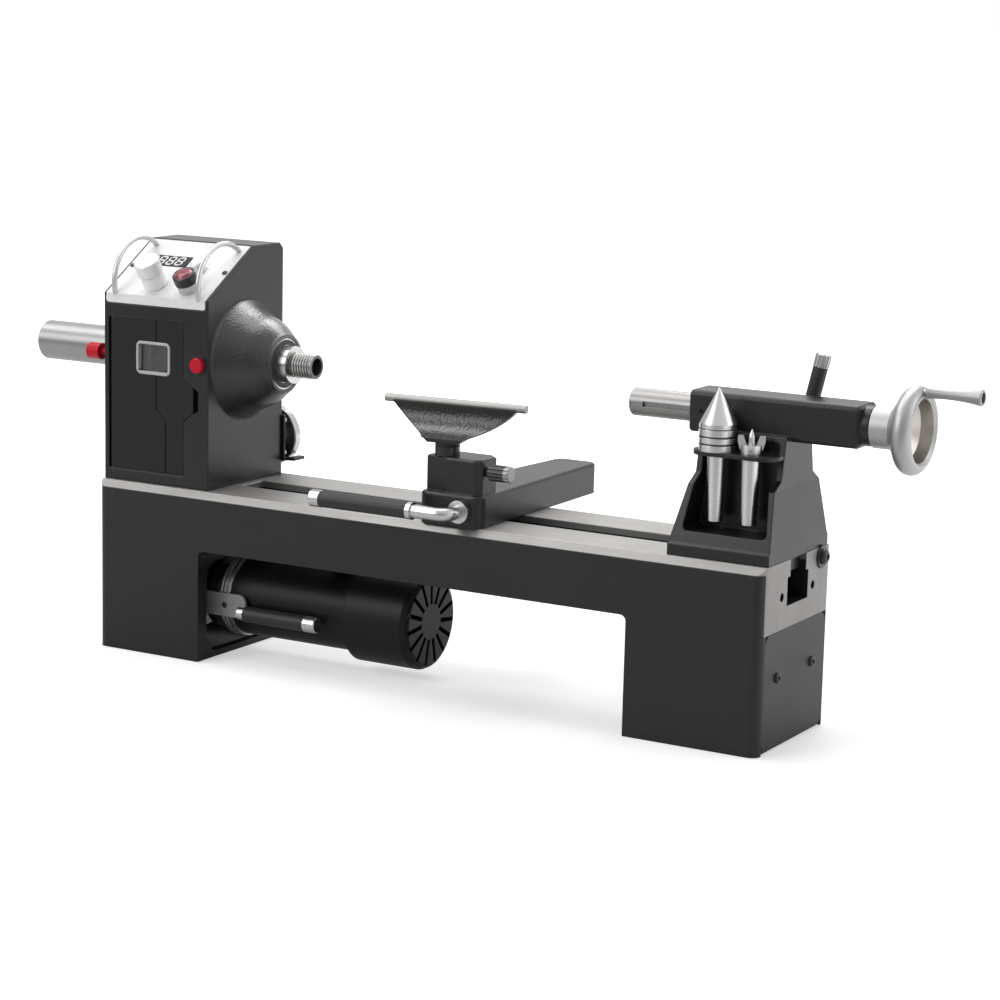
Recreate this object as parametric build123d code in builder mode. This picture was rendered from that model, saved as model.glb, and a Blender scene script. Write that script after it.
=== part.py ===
import os
from math import atan2, cos, degrees, hypot, radians, sin

from build123d import *

os.makedirs("parts", exist_ok=True)

# Millimetres. +X runs from headstock to tailstock, +Y to the back, +Z up.
# The origin is the centre of the four bench bolts on the bed's underside.

# fits
running_gap = 0.05
moving_gap = 0.3
seat_gap = 0.15
past = 5.0

# bed
bed_length = 750.0
bed_width = 154.0
bed_height = 175.0
bed_end = bed_length / 2
bed_half = bed_width / 2
bed_corner = 10.0
bed_wall = 10.0
way_thick = 16.0
slot_width = 36.0
head_left = -bed_end
slot_left = head_left + 139.0
way_bevel_y = 8.0
way_bevel_z = 7.0
left_foot = 127.0
arch_left = -bed_end + left_foot
arch_right = bed_end - 137.0
arch_height = bed_height - 60.0
arch_corner = 6.0
channel_half = bed_half - 22.0
channel_floor = bed_height - 43.0
end_wall = 18.0
end_slot_width = 47.0
window_count = 4
window_length = 88.0
window_width = 74.0
window_pitch = 112.0
window_corner = 8.0
right_foot_roof = bed_height - 53.0
foot_opening_half = bed_half - 15.0
foot_opening_low = 6.0
foot_opening_high = arch_height - 15.0
foot_opening_corner = 18.0
belt_hole_left = head_left + 25.0
belt_hole_right = head_left + 93.0
belt_hole_half = 48.0
bench_bolt_x = bed_end - 25.0
bench_bolt_y = bed_half - 25.0
bench_hole_r = 4.25
bench_pad_height = 30.0
bench_pad_half = 16.0
extension_hole_y = 34.5
extension_hole_z = bed_height - 33.0
extension_hole_r = 4.25
cover_width = bed_width - 20.0
cover_low = 2.0
cover_high = bed_height - 63.5
cover_thick = 3.0
cover_corner = 9.0
cover_screw_y = 38.5
cover_screw_z = 68.0
cover_window_half = 28.0
cover_window_low = 25.0
cover_window_high = 95.0
cover_screw_r = 2.5
cover_screw_head_r = 5.0
cover_screw_head = 3.0
cover_screw_depth = 14.0
stop_bolt_y = bed_half - 25.0
stop_bolt_z = bed_height - 9.0
stop_shank_r = 3.9
stop_washer_r = 11.0
stop_washer = 2.0
stop_head_r = 7.5
stop_head = 6.5

# headstock housing
swing_r = 127.0
axis_z = bed_height + swing_r
head_right = head_left + 130.0
head_half = 65.0
head_wall = 9.0
slope_low = axis_z + 65.0
slope_angle = 32.5
slope_end_y = 14.4
head_top_bevel = 6.0
cone_r = 60.0
cone_tip_r = 31.0
cone_end = head_left + 180.0
cone_waist_x = head_left + 151.0
cone_root = 3.0
cone_tip_round = 2.5
cone_waist_r = 48.5
bearing_r = 26.0

bearing_inner_r = 16.5
bearing_width = 15.0
bearing_shoulder_r = 21.0
bearing_boss_r = 34.0
bearing_lip = 3.0
front_bearing_right = head_left + 179.0
rear_bearing_left = head_left + 1.0
rear_boss_right = head_left + 19.0
notch_right = head_left + 118.3
notch_slant = 3.5

# belt door, hung on two pins
door_right = head_left + 99.5
door_tab_right = head_left + 111.6
door_tab_low = axis_z - 59.0
door_tab_high = axis_z - 14.5
door_tab_slant = 9.0
door_low = bed_height + 12.4
door_high = axis_z + 40.6
door_thick = 5.0
door_play = 0.4
door_hinge_gap = 2.0
door_hinge_x = head_left + 9.5
door_hinge_y = -62.5
door_knuckle_r = 2.5
door_pin_r = 1.5
door_pin_bite = 9.0
door_hole_left = head_left + 16.0
door_hole_right = head_left + 84.0
door_hole_low = bed_height + 24.0
door_hole_high = axis_z + 29.0
door_window_left = head_left + 40.0
door_window_right = head_left + 83.0
door_window_low = axis_z - 15.0
door_window_high = axis_z + 19.0
door_window_corner = 6.0
door_window_frame = 3.2
door_window_proud = 0.8
door_window_lip = 2.0
door_window_thick = 2.0
door_groove = 1.2
groove_top_x = head_left + 65.0
groove_low_x = head_left + 76.5
groove_bend_high = axis_z - 50.0
groove_bend_low = axis_z - 60.0
door_groove_depth = 0.8

# control panel, measured along the slope
panel_left = head_left + 2.0
panel_right = head_left + 126.0
panel_length = 92.0
panel_thick = 2.2
panel_lip = 9.5
panel_lip_corner = 3.0
panel_hole_left = head_left + 16.0
panel_hole_right = head_left + 107.0
panel_hole_low = 7.0
panel_hole_high = 84.0
panel_screw_left = head_left + 6.5
panel_screw_right = head_left + 122.0
panel_screw_s = 46.0
panel_screw_r = 1.6
panel_screw_head_r = 3.2
panel_screw_head = 1.6
panel_screw_depth = 8.0
guard_left = head_left + 13.0
guard_right = head_left + 117.0
guard_start = 1.0
guard_end = 83.0
guard_lift = 29.0
guard_rod_r = 2.75
speed_knob_x = head_left + 53.0
speed_knob_s = 18.5
speed_knob_r = 12.2
speed_knob_top_r = 13.1
speed_knob_skirt = 15.0
speed_knob_height = 31.0
speed_knob_groove = 0.8
knob_shaft_r = 3.0
screw_dome = 0.9
knob_edge = 1.0
pot_r = 8.0
pot_depth = 9.0
direction_knob_x = head_left + 89.0
direction_knob_s = 48.0
direction_knob_r = 8.2
direction_knob_height = 12.0
button_x = head_left + 96.5
button_s = 16.5
button_r = 9.3
button_travel = 3.0
button_height = 22.0
button_crown = 2.5
button_depth = 8.0
bezel_r = 11.9
bezel_base_r = 10.9
bezel_base = 9.5
bezel_height = 19.5
bezel_depth = 15.0
bezel_stem_r = 10.6
display_left = head_left + 19.0
display_right = head_left + 70.5
display_low = 49.5
display_high = 66.0
display_proud = 0.6
display_depth = 7.0
controller_left = head_left + 20.0
controller_right = head_left + 90.0
controller_front = 20.0
controller_back = 52.0
controller_height = 30.0

# spindle, its pulley and the two catches
spindle_journal_r = 12.5
spindle_left = head_left - 27.0
spindle_nose = head_left + 217.0
spindle_thread_r = 12.7
spindle_register_left = head_left + 179.3
spindle_register_right = head_left + 191.0
spindle_register_r = 19.0
spindle_bore_r = 4.75
taper_mouth_r = 8.9
taper_end_r = 7.5
taper_depth = 62.0
collar_left = head_left + 110.4
collar_right = head_left + 126.4
collar_r = 22.0
collar_hole_r = 4.3
collar_hole_depth = 8.0
sleeve_left = head_left - 125.0
sleeve_right = head_left - 5.0
sleeve_r = 20.5
sleeve_bore_r = 15.0
sleeve_hub = 24.0
pulley_left = head_left + 29.0
pulley_step = 18.0
pulley_big_r = 50.0
pulley_mid_r = 40.0
pulley_small_r = 30.0
pulley_hub_right = head_left + 91.0
pulley_hub_r = 19.0
index_count = 12
index_circle_r = 42.0
index_hole_r = 3.4
index_hole_depth = 10.0
index_pin_r = 3.1
index_pin_right = head_left + 28.0
index_knob_left = head_left - 37.0
index_knob_right = head_left - 21.0
index_knob_r = 8.5
index_bush_left = head_left - 10.0
index_bush_r = 9.0
lock_x = head_left + 118.4
lock_button_r = 7.7
lock_button_proud = 6.0
lock_button_thick = 9.0
lock_plunger_r = 4.0
lock_plunger_end = -27.0
lock_sleeve_r = 9.2
lock_sleeve_lip_r = 9.8
lock_sleeve_proud = 0.6
lock_sleeve_depth = 22.0
lock_sleeve_floor = 4.0

# rear of the headstock
faceplate_x = head_left + 109.0
faceplate_z = bed_height + 38.0
faceplate_r = 31.5
faceplate_front = 76.0
faceplate_thick = 10.0
faceplate_hub_r = 18.0
faceplate_hub_front = 68.3
faceplate_screw_count = 4
faceplate_screw_circle = 24.5
faceplate_screw_turn = 45.0
faceplate_screw_r = 2.6
bracket_plate = 3.0
bracket_plate_half = 24.0
bracket_peg_r = 12.4
bracket_peg_end = 84.0
tab_low = bed_height + 14.0
tab_thick = 3.0
tab_left = head_left + 113.0
tab_inner = head_left + 135.5
tab_step = 74.8
tab_right = head_left + 143.0
tab_back = 89.0
inlet_x = head_left + 45.0
inlet_z = bed_height + 40.0
inlet_half_x = 15.0
inlet_half_z = 24.0
inlet_proud = 4.0
inlet_depth = 16.0
inlet_flange = 2.0
inlet_socket_half_x = 11.0
inlet_socket_half_z = 8.0

# motor on its swinging plate
motor_z = arch_height - 56.0
motor_plate_left = head_left + 107.0
motor_plate_right = head_left + 115.0
motor_plate_r = 38.0
pivot_y = 45.0
pivot_z = arch_height - 5.0
pivot_r = 6.0
pivot_ear_r = 12.0
pivot_head = 5.0
pivot_head_r = 9.5
shaft_room = 2.0
bell_left = head_left + 129.0
bell_right = head_left + 142.0
bell_r = 43.0
bell_boss_r = 28.0
bell_groove = 2.0
motor_r = 41.0
motor_wall = 4.0
motor_right = head_left + 283.0
motor_shield = 7.0
fan_inlet_r = 30.0
fan_cover_right = head_left + 357.0
fan_cover_r = 49.0
fan_cover_wall = 2.5
fan_cover_round = 7.0
fan_slot_count = 15
fan_slot_inner = 18.0
fan_slot_outer = 44.0
fan_slot_width = 4.4
motor_shaft_r = 7.0
motor_shaft_left = head_left + 25.0
motor_shaft_right = head_left + 329.0
rotor_left = head_left + 160.0
rotor_right = head_left + 260.0
rotor_r = 30.0
fan_left = head_left + 297.0
fan_right = head_left + 321.0
fan_r = 42.0
fan_hub_r = 13.0
fan_blade_count = 7
fan_blade = 2.5
motor_pulley_small_r = 20.0
motor_pulley_mid_r = 30.0
motor_pulley_big_r = 40.0
belt_width = 13.0
belt_thick = 4.0
lever_strip_right = head_left + 165.0
lever_strip_front = -47.4
lever_strip_thick = 3.0
lever_strip_round = 9.0
lever_strip_low = motor_z - 15.0
lever_strip_high = motor_z + 9.0
lever_grip_y = -52.0
lever_grip_z = motor_z - 8.0
lever_grip_r = 8.0
lever_ferrule_left = head_left + 161.0
lever_ferrule_right = head_left + 169.0
lever_grip_right = head_left + 242.0
lever_cap_right = head_left + 256.0
lever_rod_r = 4.0

# tool rest
rest_bolt_x = 56.0
rest_plate_length = 62.0
rest_plate_half = channel_half - 9.0
rest_plate_thick = 10.0
clamp_plate_round = 6.0
rest_bolt_r = 6.0
rest_bolt_head_r = 10.0
rest_bolt_head = 9.0
cam_z = bed_height + 15.5
cam_eye_r = 11.2
cam_eye_bore = 8.8
cam_eye_half = 7.0
cam_pin_r = 6.5
cam_throw = 2.0
cam_journal_r = 8.75
cam_tail_r = 4.4
cam_tail = 16.0
banjo_front = 5.0 - bed_half
banjo_back = 175.0
banjo_top = bed_height + 31.0
banjo_front_left = 7.5
banjo_front_right = 78.0
banjo_back_left = 26.0
banjo_back_right = 72.0
banjo_corner = 10.0
banjo_round = 3.0
banjo_cavity_front = -62.0
banjo_cavity_back = 132.0
banjo_cavity_half = 14.0
banjo_cavity_top = bed_height + 27.4
block_left = 12.0
block_front = banjo_front + 3.5
block_right = 74.0
block_back = -28.0
block_top = bed_height + 65.0
block_facet_x = 26.0
block_facet_y = 6.5
block_front_bevel = 6.3
block_bevel = 9.0
block_edge = 1.5
post_x = 30.0
post_y = -55.0
post_r = 8.0
post_low = bed_height + 3.0
collar_od = 24.0
collar_height = 9.0
rest_turn = 5.0
rest_bar_r = 4.0
rest_bar_length = 150.0
rest_bar_z = axis_z - 14.0
rest_bar_back = 16.0
rest_hub_r = 12.0
rest_hub_top = bed_height + 87.0
rest_wing_half = 65.0
rest_wing_low = axis_z - 16.5
rest_wing_curve = (40.0, axis_z - 36.7)
rest_lip_half = 20.0
rest_lip_side = axis_z - 45.6
rest_lip = -12.5
rest_lip_high = axis_z - 44.5
rest_lip_low = axis_z - 49.0
rest_seat_z = axis_z - 15.0
rest_seat_half = 4.6
rest_front_bend = (4.5, axis_z - 36.5)
rest_back_bend = (10.5, axis_z - 42.5)
rest_knob_z = bed_height + 53.0
rest_knob_left = 78.0
rest_knob_right = 101.0
rest_knob_r = 8.0
rest_screw_r = 4.0
flange_thick = 6.0
flange_r = 11.0
arm_y = -bed_half - 21.0
arm_bend = 12.0
arm_r = 6.5
arm_grip_right = 14.0
arm_grip_left = -85.0
arm_cap_left = -97.0
arm_grip_r = 8.0
arm_ferrule = 5.0
arm_ferrule_r = 8.4

# tailstock
tail_left = bed_end - 102.5
tail_right = bed_end - 0.5
tail_half = 66.0
tail_foot = 10.5
tail_foot_inset = 2.0
tail_shoulder_z = bed_height + 65.0
tail_shoulder_half = 50.0
tail_neck_z = bed_height + 74.0
tail_neck_half = 35.0
tail_neck_top_half = 28.0
tail_waist_left = bed_end - 91.0
tail_waist_right = bed_end - 5.0
tail_corner = 6.0
barrel_left = bed_end - 107.0
barrel_right = bed_end + 61.5
barrel_half = 21.0
barrel_low = axis_z - 19.5
barrel_high = axis_z + 19.5
barrel_round = 5.0
barrel_edge = 3.0
barrel_collar = 7.0
barrel_collar_r = 18.5
barrel_end_wall = 7.0
pocket_wall = 5.5
pocket_corner = 5.0
pocket_low = bed_height + 23.0
pocket_back = -24.0
shelf_low = axis_z - 34.0
shelf_high = axis_z - 30.0
shelf_front = -57.0
shelf_corner = 18.0
tongue_width = 35.4
tongue_low = bed_height - 14.0
tongue_left = bed_end - 99.0
tongue_right = bed_end - 7.0
quill_left = bed_end - 174.0
quill_right = bed_end - 2.0
quill_r = 13.3
quill_bore_r = 6.4
key_x = bed_end - 94.0
key_half = 2.5
key_depth = 3.0
key_groove_left = bed_end - 159.0
key_groove_right = bed_end - 89.0
screw_r = 6.0
screw_left = bed_end - 99.0
screw_journal_r = 8.0
screw_collar = 3.0
screw_collar_r = 11.0
hub_left = bed_end + 69.5
hub_right = bed_end + 87.0
hub_r = 19.5
wheel_left = bed_end + 96.0
wheel_right = bed_end + 115.0
wheel_r = 40.5
wheel_opening_r = 29.0
wheel_web = 5.0
wheel_lip = 2.5
crank_circle = 35.0
crank_waist = bed_end + 131.0
crank_right = bed_end + 168.0
crank_root_r = 5.3
crank_waist_r = 4.5
crank_end_r = 7.6
crank_recess = 9.0
crank_recess_r = 5.0
crank_screw_r = 2.5
crank_screw_left = bed_end + 99.0
crank_screw_head_r = 3.6
crank_screw_head = 3.0
quill_lock_x = bed_end - 11.3
quill_lock_r = 5.0
quill_lock_boss_r = 9.5
quill_lock_boss = 4.0
quill_lock_lean = 13.0
quill_lock_head = 15.0
quill_lock_length = 58.0
quill_lock_rod_r = 7.0
quill_lock_head_r = 8.5
quill_lock_tip_r = 7.4
quill_lock_tip = 12.0
flute_r = 1.1
flute_count = 12
clamp_x = bed_end - 53.0
clamp_cam_z = bed_height + 15.0
clamp_shaft_r = 7.0
clamp_pin_r = 5.0
clamp_throw = 1.8
clamp_tail_r = 3.1
clamp_tail = 8.0
clamp_eye_r = 11.0
clamp_eye_half = 6.5
clamp_eye_bore = 7.4
clamp_stud_r = 6.0
clamp_plate_length = 60.0
clamp_plate_half = channel_half - 9.0
clamp_plate_thick = 10.0
clamp_cavity_half = 13.0
clamp_cavity_y = 10.0
clamp_arm_y = bed_half + 11.0
clamp_arm = 85.0
clamp_arm_r = 4.5
clamp_hub_r = 11.0
clamp_hub_front = bed_half + 5.5
clamp_hub_back = bed_half + 17.0
clamp_grip_r = 7.5
clamp_grip_length = 48.0
live_x = bed_end - 67.0
spur_x = bed_end - 33.0
holder_y = -42.0
taper_low = axis_z - 95.0
live_body_r = 17.5
live_body_top = axis_z - 10.0
live_tip = axis_z + 28.0
live_cone_r = 17.3
live_cone_z = axis_z - 5.0
live_journal_r = 6.0
live_journal_low = axis_z - 22.0
live_groove = 1.8
live_grooves = 2
spur_head_r = 10.0
spur_head_top = axis_z - 21.5
spur_blade = 3.0
spur_blade_r = 12.4
spur_blade_low = axis_z - 27.0
spur_blade_bend = axis_z - 19.0
spur_blade_top = axis_z - 13.0
spur_blade_inner = 4.5
spur_blade_shoulder = 7.5
spur_blade_count = 4
spur_blade_angle = 20.0
spur_tip = axis_z - 7.0
spur_point_r = 3.0
shelf_room = 0.3
scallop_room = 1.0

slope = radians(slope_angle)
slope_plane = Plane(origin=(0, -head_half, slope_low), x_dir=(1, 0, 0), z_dir=(0, -sin(slope), cos(slope)))
slope_out = slope_plane.z_dir
head_top = slope_low + (slope_end_y + head_half) * sin(slope) / cos(slope)
mid_step_left = pulley_left + pulley_step


def block(low, high, mode=Mode.ADD):
    with Locations(tuple((a + b) / 2 for a, b in zip(low, high))):
        Box(*(b - a for a, b in zip(low, high)), mode=mode)


def rod(start, along, radius, length, mode=Mode.ADD):
    with Locations(Plane(origin=start, z_dir=along)):
        Cylinder(radius, length, align=(Align.CENTER, Align.CENTER, Align.MIN), mode=mode)


def turned(start, along, outline, mode=Mode.ADD):
    side = (0, 0, 1) if abs(Vector(along).Z) < 0.9 else (1, 0, 0)
    across = Vector(along).cross(Vector(side))
    with BuildSketch(Plane(origin=start, x_dir=along, z_dir=across)) as profile:
        with BuildLine():
            Polyline(*outline, close=True)
        make_face()
    revolve(profile.sketch, axis=Axis(start, along), mode=mode)


def sheet(plane, points, depth, mode=Mode.ADD, corner=0.0):
    with BuildSketch(plane) as profile:
        with BuildLine():
            Polyline(*points, close=True)
        make_face()
        if corner > 0:
            fillet(profile.vertices(), corner)
    extrude(profile.sketch, amount=depth, mode=mode)


def flutes(start, along, radius, length):
    with Locations(Plane(origin=start, z_dir=along)):
        with PolarLocations(radius, flute_count):
            Cylinder(flute_r, length + past, align=(Align.CENTER, Align.CENTER, Align.MIN),
                     mode=Mode.SUBTRACT)


def rim(left, low, right, high):
    return [(left, low), (right, low), (right, high), (left, high)]


def on_slope(x, s, out=0.0):
    return tuple(slope_plane.from_local_coords(Vector(x, s, out)))


def save(piece, name):
    piece.part.label = name
    export_step(piece.part, f"parts/{name}.step")


def facing_front(y):
    return Plane(origin=(0, y, 0), x_dir=(1, 0, 0), z_dir=(0, -1, 0))


def facing_right(x):
    return Plane(origin=(x, 0, 0), x_dir=(0, 1, 0), z_dir=(1, 0, 0))


way_low = bed_height - way_thick
foot_left_inner = -bed_end + bed_wall
foot_left_outer = arch_left - bed_wall
foot_right_inner = arch_right + bed_wall
end_inner = bed_end - end_wall
side_inner = bed_half - bed_wall

with BuildPart() as bed_casting:
    block((-bed_end, -bed_half, 0), (bed_end, bed_half, bed_height))
    fillet(bed_casting.edges().filter_by(Axis.Z), bed_corner)
    sheet(facing_front(bed_half + past), rim(arch_left, -arch_height, arch_right, arch_height),
          bed_width + 2 * past, Mode.SUBTRACT, arch_corner)
    for side in (-1, 1):
        edge = [
            (side * (bed_half - way_bevel_y), bed_height),
            (side * (bed_half + past), bed_height - way_bevel_z * (1 + past / way_bevel_y)),
            (side * (bed_half + past), bed_height + past),
            (side * (bed_half - way_bevel_y), bed_height + past),
        ]
        sheet(facing_right(-bed_end - past), edge, bed_length + 2 * past, Mode.SUBTRACT)
    block((foot_left_inner, -side_inner, -past), (foot_left_outer, side_inner, way_low), Mode.SUBTRACT)
    block((foot_right_inner, -side_inner, -past), (end_inner, side_inner, right_foot_roof), Mode.SUBTRACT)
    block((foot_left_outer, -channel_half, channel_floor), (end_inner, channel_half, way_low), Mode.SUBTRACT)
    block((slot_left, -slot_width / 2, way_low), (bed_end + past, slot_width / 2, bed_height + past),
          Mode.SUBTRACT)
    block((end_inner, -end_slot_width / 2, channel_floor), (bed_end + past, end_slot_width / 2, way_low),
          Mode.SUBTRACT)
    for i in range(window_count):
        middle = (arch_left + arch_right) / 2 + (i - (window_count - 1) / 2) * window_pitch
        ladder = rim(middle - window_length / 2, -window_width / 2, middle + window_length / 2,
                     window_width / 2)
        sheet(Plane.XY.offset(arch_height - past), ladder, channel_floor - arch_height + 2 * past,
              Mode.SUBTRACT, window_corner)
    sheet(facing_right(foot_left_outer - past),
          rim(-foot_opening_half, foot_opening_low, foot_opening_half, foot_opening_high),
          bed_wall + 2 * past, Mode.SUBTRACT, foot_opening_corner)
    block((belt_hole_left, -belt_hole_half, way_low - past),
          (belt_hole_right, belt_hole_half, bed_height + past),
          Mode.SUBTRACT)
    for end in (-1, 1):
        for side in (-1, 1):
            outer = foot_left_inner if end < 0 else end_inner
            inner = end * (bench_bolt_x - bench_pad_half)
            low_y, high_y = sorted((side * (bench_bolt_y - bench_pad_half), side * side_inner))
            block((min(outer, inner), low_y, 0), (max(outer, inner), high_y, bench_pad_height))
            rod((end * bench_bolt_x, side * bench_bolt_y, -past), (0, 0, 1), bench_hole_r,
                bench_pad_height + 2 * past, Mode.SUBTRACT)
    block((bed_end - cover_thick, -cover_width / 2, -past), (bed_end + past, cover_width / 2, cover_high),
          Mode.SUBTRACT)
    block((end_inner - past, -cover_window_half, cover_window_low),
          (bed_end, cover_window_half, cover_window_high), Mode.SUBTRACT)
    for side in (-1, 1):
        rod((end_inner - past, side * extension_hole_y, extension_hole_z), (1, 0, 0), extension_hole_r,
            end_wall + 2 * past, Mode.SUBTRACT)
        rod((end_inner - past, side * cover_screw_y, cover_screw_z), (1, 0, 0), cover_screw_r + seat_gap,
            end_wall + 2 * past, Mode.SUBTRACT)
    rod((end_inner - past, stop_bolt_y, stop_bolt_z), (1, 0, 0), stop_shank_r + seat_gap,
        end_wall + 2 * past, Mode.SUBTRACT)
    rod((foot_left_outer - past, pivot_y, pivot_z), (1, 0, 0), pivot_r, bed_wall + 2 * past, Mode.SUBTRACT)
save(bed_casting, "bed_casting")

with BuildPart() as end_cover:
    sheet(facing_right(bed_end - cover_thick),
          rim(-cover_width / 2 + moving_gap, cover_low, cover_width / 2 - moving_gap,
              cover_high - moving_gap),
          cover_thick, Mode.ADD, cover_corner)
    for side in (-1, 1):
        rod((bed_end - cover_thick, side * cover_screw_y, cover_screw_z), (1, 0, 0), cover_screw_r + seat_gap,
            cover_thick, Mode.SUBTRACT)
save(end_cover, "end_cover")

with BuildPart() as stop_bolt:
    rod((end_inner, stop_bolt_y, stop_bolt_z), (1, 0, 0), stop_shank_r, end_wall + stop_washer)
    rod((bed_end, stop_bolt_y, stop_bolt_z), (1, 0, 0), stop_washer_r, stop_washer)
    with BuildSketch(Plane(origin=(bed_end + stop_washer, stop_bolt_y, stop_bolt_z), x_dir=(0, 1, 0),
                           z_dir=(1, 0, 0))):
        RegularPolygon(stop_head_r, 6)
    extrude(amount=stop_head)
save(stop_bolt, "stop_bolt")

inner_y = head_half - head_wall
inner_top = head_top - head_wall
panel_foot = (-head_half + head_wall * sin(slope), slope_low - head_wall * cos(slope))
slope_rise = sin(slope) / cos(slope)
inner_slope_low = panel_foot[1] + (-inner_y - panel_foot[0]) * slope_rise
inner_slope_y = panel_foot[0] + (inner_top - panel_foot[1]) / slope_rise
front_bearing_left = front_bearing_right - bearing_width
rear_bearing_right = rear_bearing_left + bearing_width
rebate = door_thick + door_play
rebate_left = door_hinge_x - door_knuckle_r - door_hinge_gap
spindle_start = (0, 0, axis_z)

with BuildPart() as headstock_housing:
    shell = [
        (-head_half, bed_height), (-head_half, slope_low), (slope_end_y, head_top),
        (head_half - head_top_bevel, head_top), (head_half, head_top - head_top_bevel),
        (head_half, bed_height),
    ]
    sheet(facing_right(head_left), shell, head_right - head_left)
    hollow = [
        (-inner_y, bed_height - past), (-inner_y, inner_slope_low), (inner_slope_y, inner_top),
        (inner_y, inner_top), (inner_y, bed_height - past),
    ]
    sheet(facing_right(head_left + head_wall), hollow, head_right - head_left - 2 * head_wall, Mode.SUBTRACT)
    with BuildSketch(Plane(origin=spindle_start, x_dir=(1, 0, 0), z_dir=(0, -1, 0))) as bell:
        with BuildLine():
            Polyline((cone_end, cone_tip_r - cone_tip_round), (cone_end, 0), (head_right - head_wall, 0),
                     (head_right - head_wall, cone_r + cone_root), (head_right, cone_r + cone_root))
            Spline((head_right, cone_r + cone_root), (head_right + cone_root, cone_r - cone_root / 2),
                   (cone_waist_x, cone_waist_r), (cone_end - cone_tip_round, cone_tip_r),
                   tangents=((0, -1), (1, -1)))
            RadiusArc((cone_end - cone_tip_round, cone_tip_r), (cone_end, cone_tip_r - cone_tip_round),
                      cone_tip_round)
        make_face()
    revolve(bell.sketch, axis=Axis(spindle_start, (1, 0, 0)))
    turned(spindle_start, (1, 0, 0), [
        (head_right - head_wall - past, 0), (head_right - head_wall - past, cone_r - head_wall),
        (head_right - head_wall / 2, cone_r - head_wall),
        (cone_waist_x - head_wall, cone_waist_r - head_wall),
        (front_bearing_left - bearing_lip, bearing_shoulder_r), (front_bearing_left, bearing_shoulder_r),
        (front_bearing_left, bearing_r), (cone_end + past, bearing_r), (cone_end + past, 0),
    ], Mode.SUBTRACT)
    rod((head_left + head_wall, 0, axis_z), (1, 0, 0), bearing_boss_r,
        rear_boss_right - head_left - head_wall)
    rod((index_bush_left, -index_circle_r, axis_z), (1, 0, 0), index_bush_r,
        rear_boss_right - index_bush_left)
    turned(spindle_start, (1, 0, 0), [
        (head_left - past, 0), (head_left - past, bearing_r), (rear_bearing_right, bearing_r),
        (rear_bearing_right, bearing_shoulder_r), (rear_boss_right + past, bearing_shoulder_r),
        (rear_boss_right + past, 0),
    ], Mode.SUBTRACT)
    rod((index_bush_left - past, -index_circle_r, axis_z), (1, 0, 0), index_pin_r + running_gap,
        rear_boss_right - index_bush_left + 2 * past, Mode.SUBTRACT)
    recess = [
        (rebate_left, door_low - door_play), (door_right + door_play, door_low - door_play),
        (door_right + door_play, door_tab_low), (door_tab_right + door_play, door_tab_low + door_tab_slant),
        (notch_right, door_tab_low + door_tab_slant + notch_slant),
        (notch_right, door_tab_high - door_tab_slant - notch_slant),
        (door_tab_right + door_play, door_tab_high - door_tab_slant), (door_right + door_play, door_tab_high),
        (door_right + door_play, door_high + door_play), (rebate_left, door_high + door_play),
    ]
    sheet(facing_front(-head_half + rebate), recess, rebate + past, Mode.SUBTRACT)
    block((door_hole_left, -head_half - past, door_hole_low),
          (door_hole_right, -inner_y + past, door_hole_high), Mode.SUBTRACT)
    rod((door_hinge_x, door_hinge_y, door_low - door_play - door_pin_bite), (0, 0, 1), door_pin_r,
        door_high - door_low + 2 * door_play + 2 * door_pin_bite, Mode.SUBTRACT)
    rod((lock_x, -head_half - past, axis_z), (0, 1, 0), lock_sleeve_r, lock_sleeve_depth + past + moving_gap,
        Mode.SUBTRACT)
    sheet(slope_plane.offset(-panel_thick),
          rim(panel_left - seat_gap, -past, panel_right + seat_gap, panel_length + seat_gap),
          panel_thick + past, Mode.SUBTRACT)
    block((panel_left - seat_gap, -head_half - past, slope_low - panel_lip - seat_gap),
          (panel_right + seat_gap, -head_half + panel_thick, slope_low + panel_thick), Mode.SUBTRACT)
    sheet(slope_plane.offset(-head_wall - past),
          rim(panel_hole_left, panel_hole_low, panel_hole_right, panel_hole_high),
          head_wall + 2 * past, Mode.SUBTRACT)
    rod(on_slope(button_x, button_s, -bezel_depth - seat_gap), slope_out, bezel_stem_r + seat_gap,
        bezel_depth + past, Mode.SUBTRACT)
    for x in (panel_screw_left, panel_screw_right):
        rod(on_slope(x, panel_screw_s, -panel_screw_depth), slope_out, panel_screw_r,
            panel_screw_depth + past,
            Mode.SUBTRACT)
    block((inlet_x - inlet_half_x, inner_y - past, inlet_z - inlet_half_z),
          (inlet_x + inlet_half_x, head_half + past, inlet_z + inlet_half_z), Mode.SUBTRACT)
save(headstock_housing, "headstock_housing")

with BuildPart() as bearing_outers:
    for left in (rear_bearing_left, front_bearing_left):
        turned(spindle_start, (1, 0, 0), [
            (left, bearing_inner_r + running_gap), (left, bearing_r), (left + bearing_width, bearing_r),
            (left + bearing_width, bearing_inner_r + running_gap),
        ])
save(bearing_outers, "bearing_outers")

with BuildPart() as bearing_inners:
    for left in (rear_bearing_left, front_bearing_left):
        turned(spindle_start, (1, 0, 0), [
            (left, spindle_journal_r), (left, bearing_inner_r), (left + bearing_width, bearing_inner_r),
            (left + bearing_width, spindle_journal_r),
        ])
save(bearing_inners, "bearing_inners")

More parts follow.
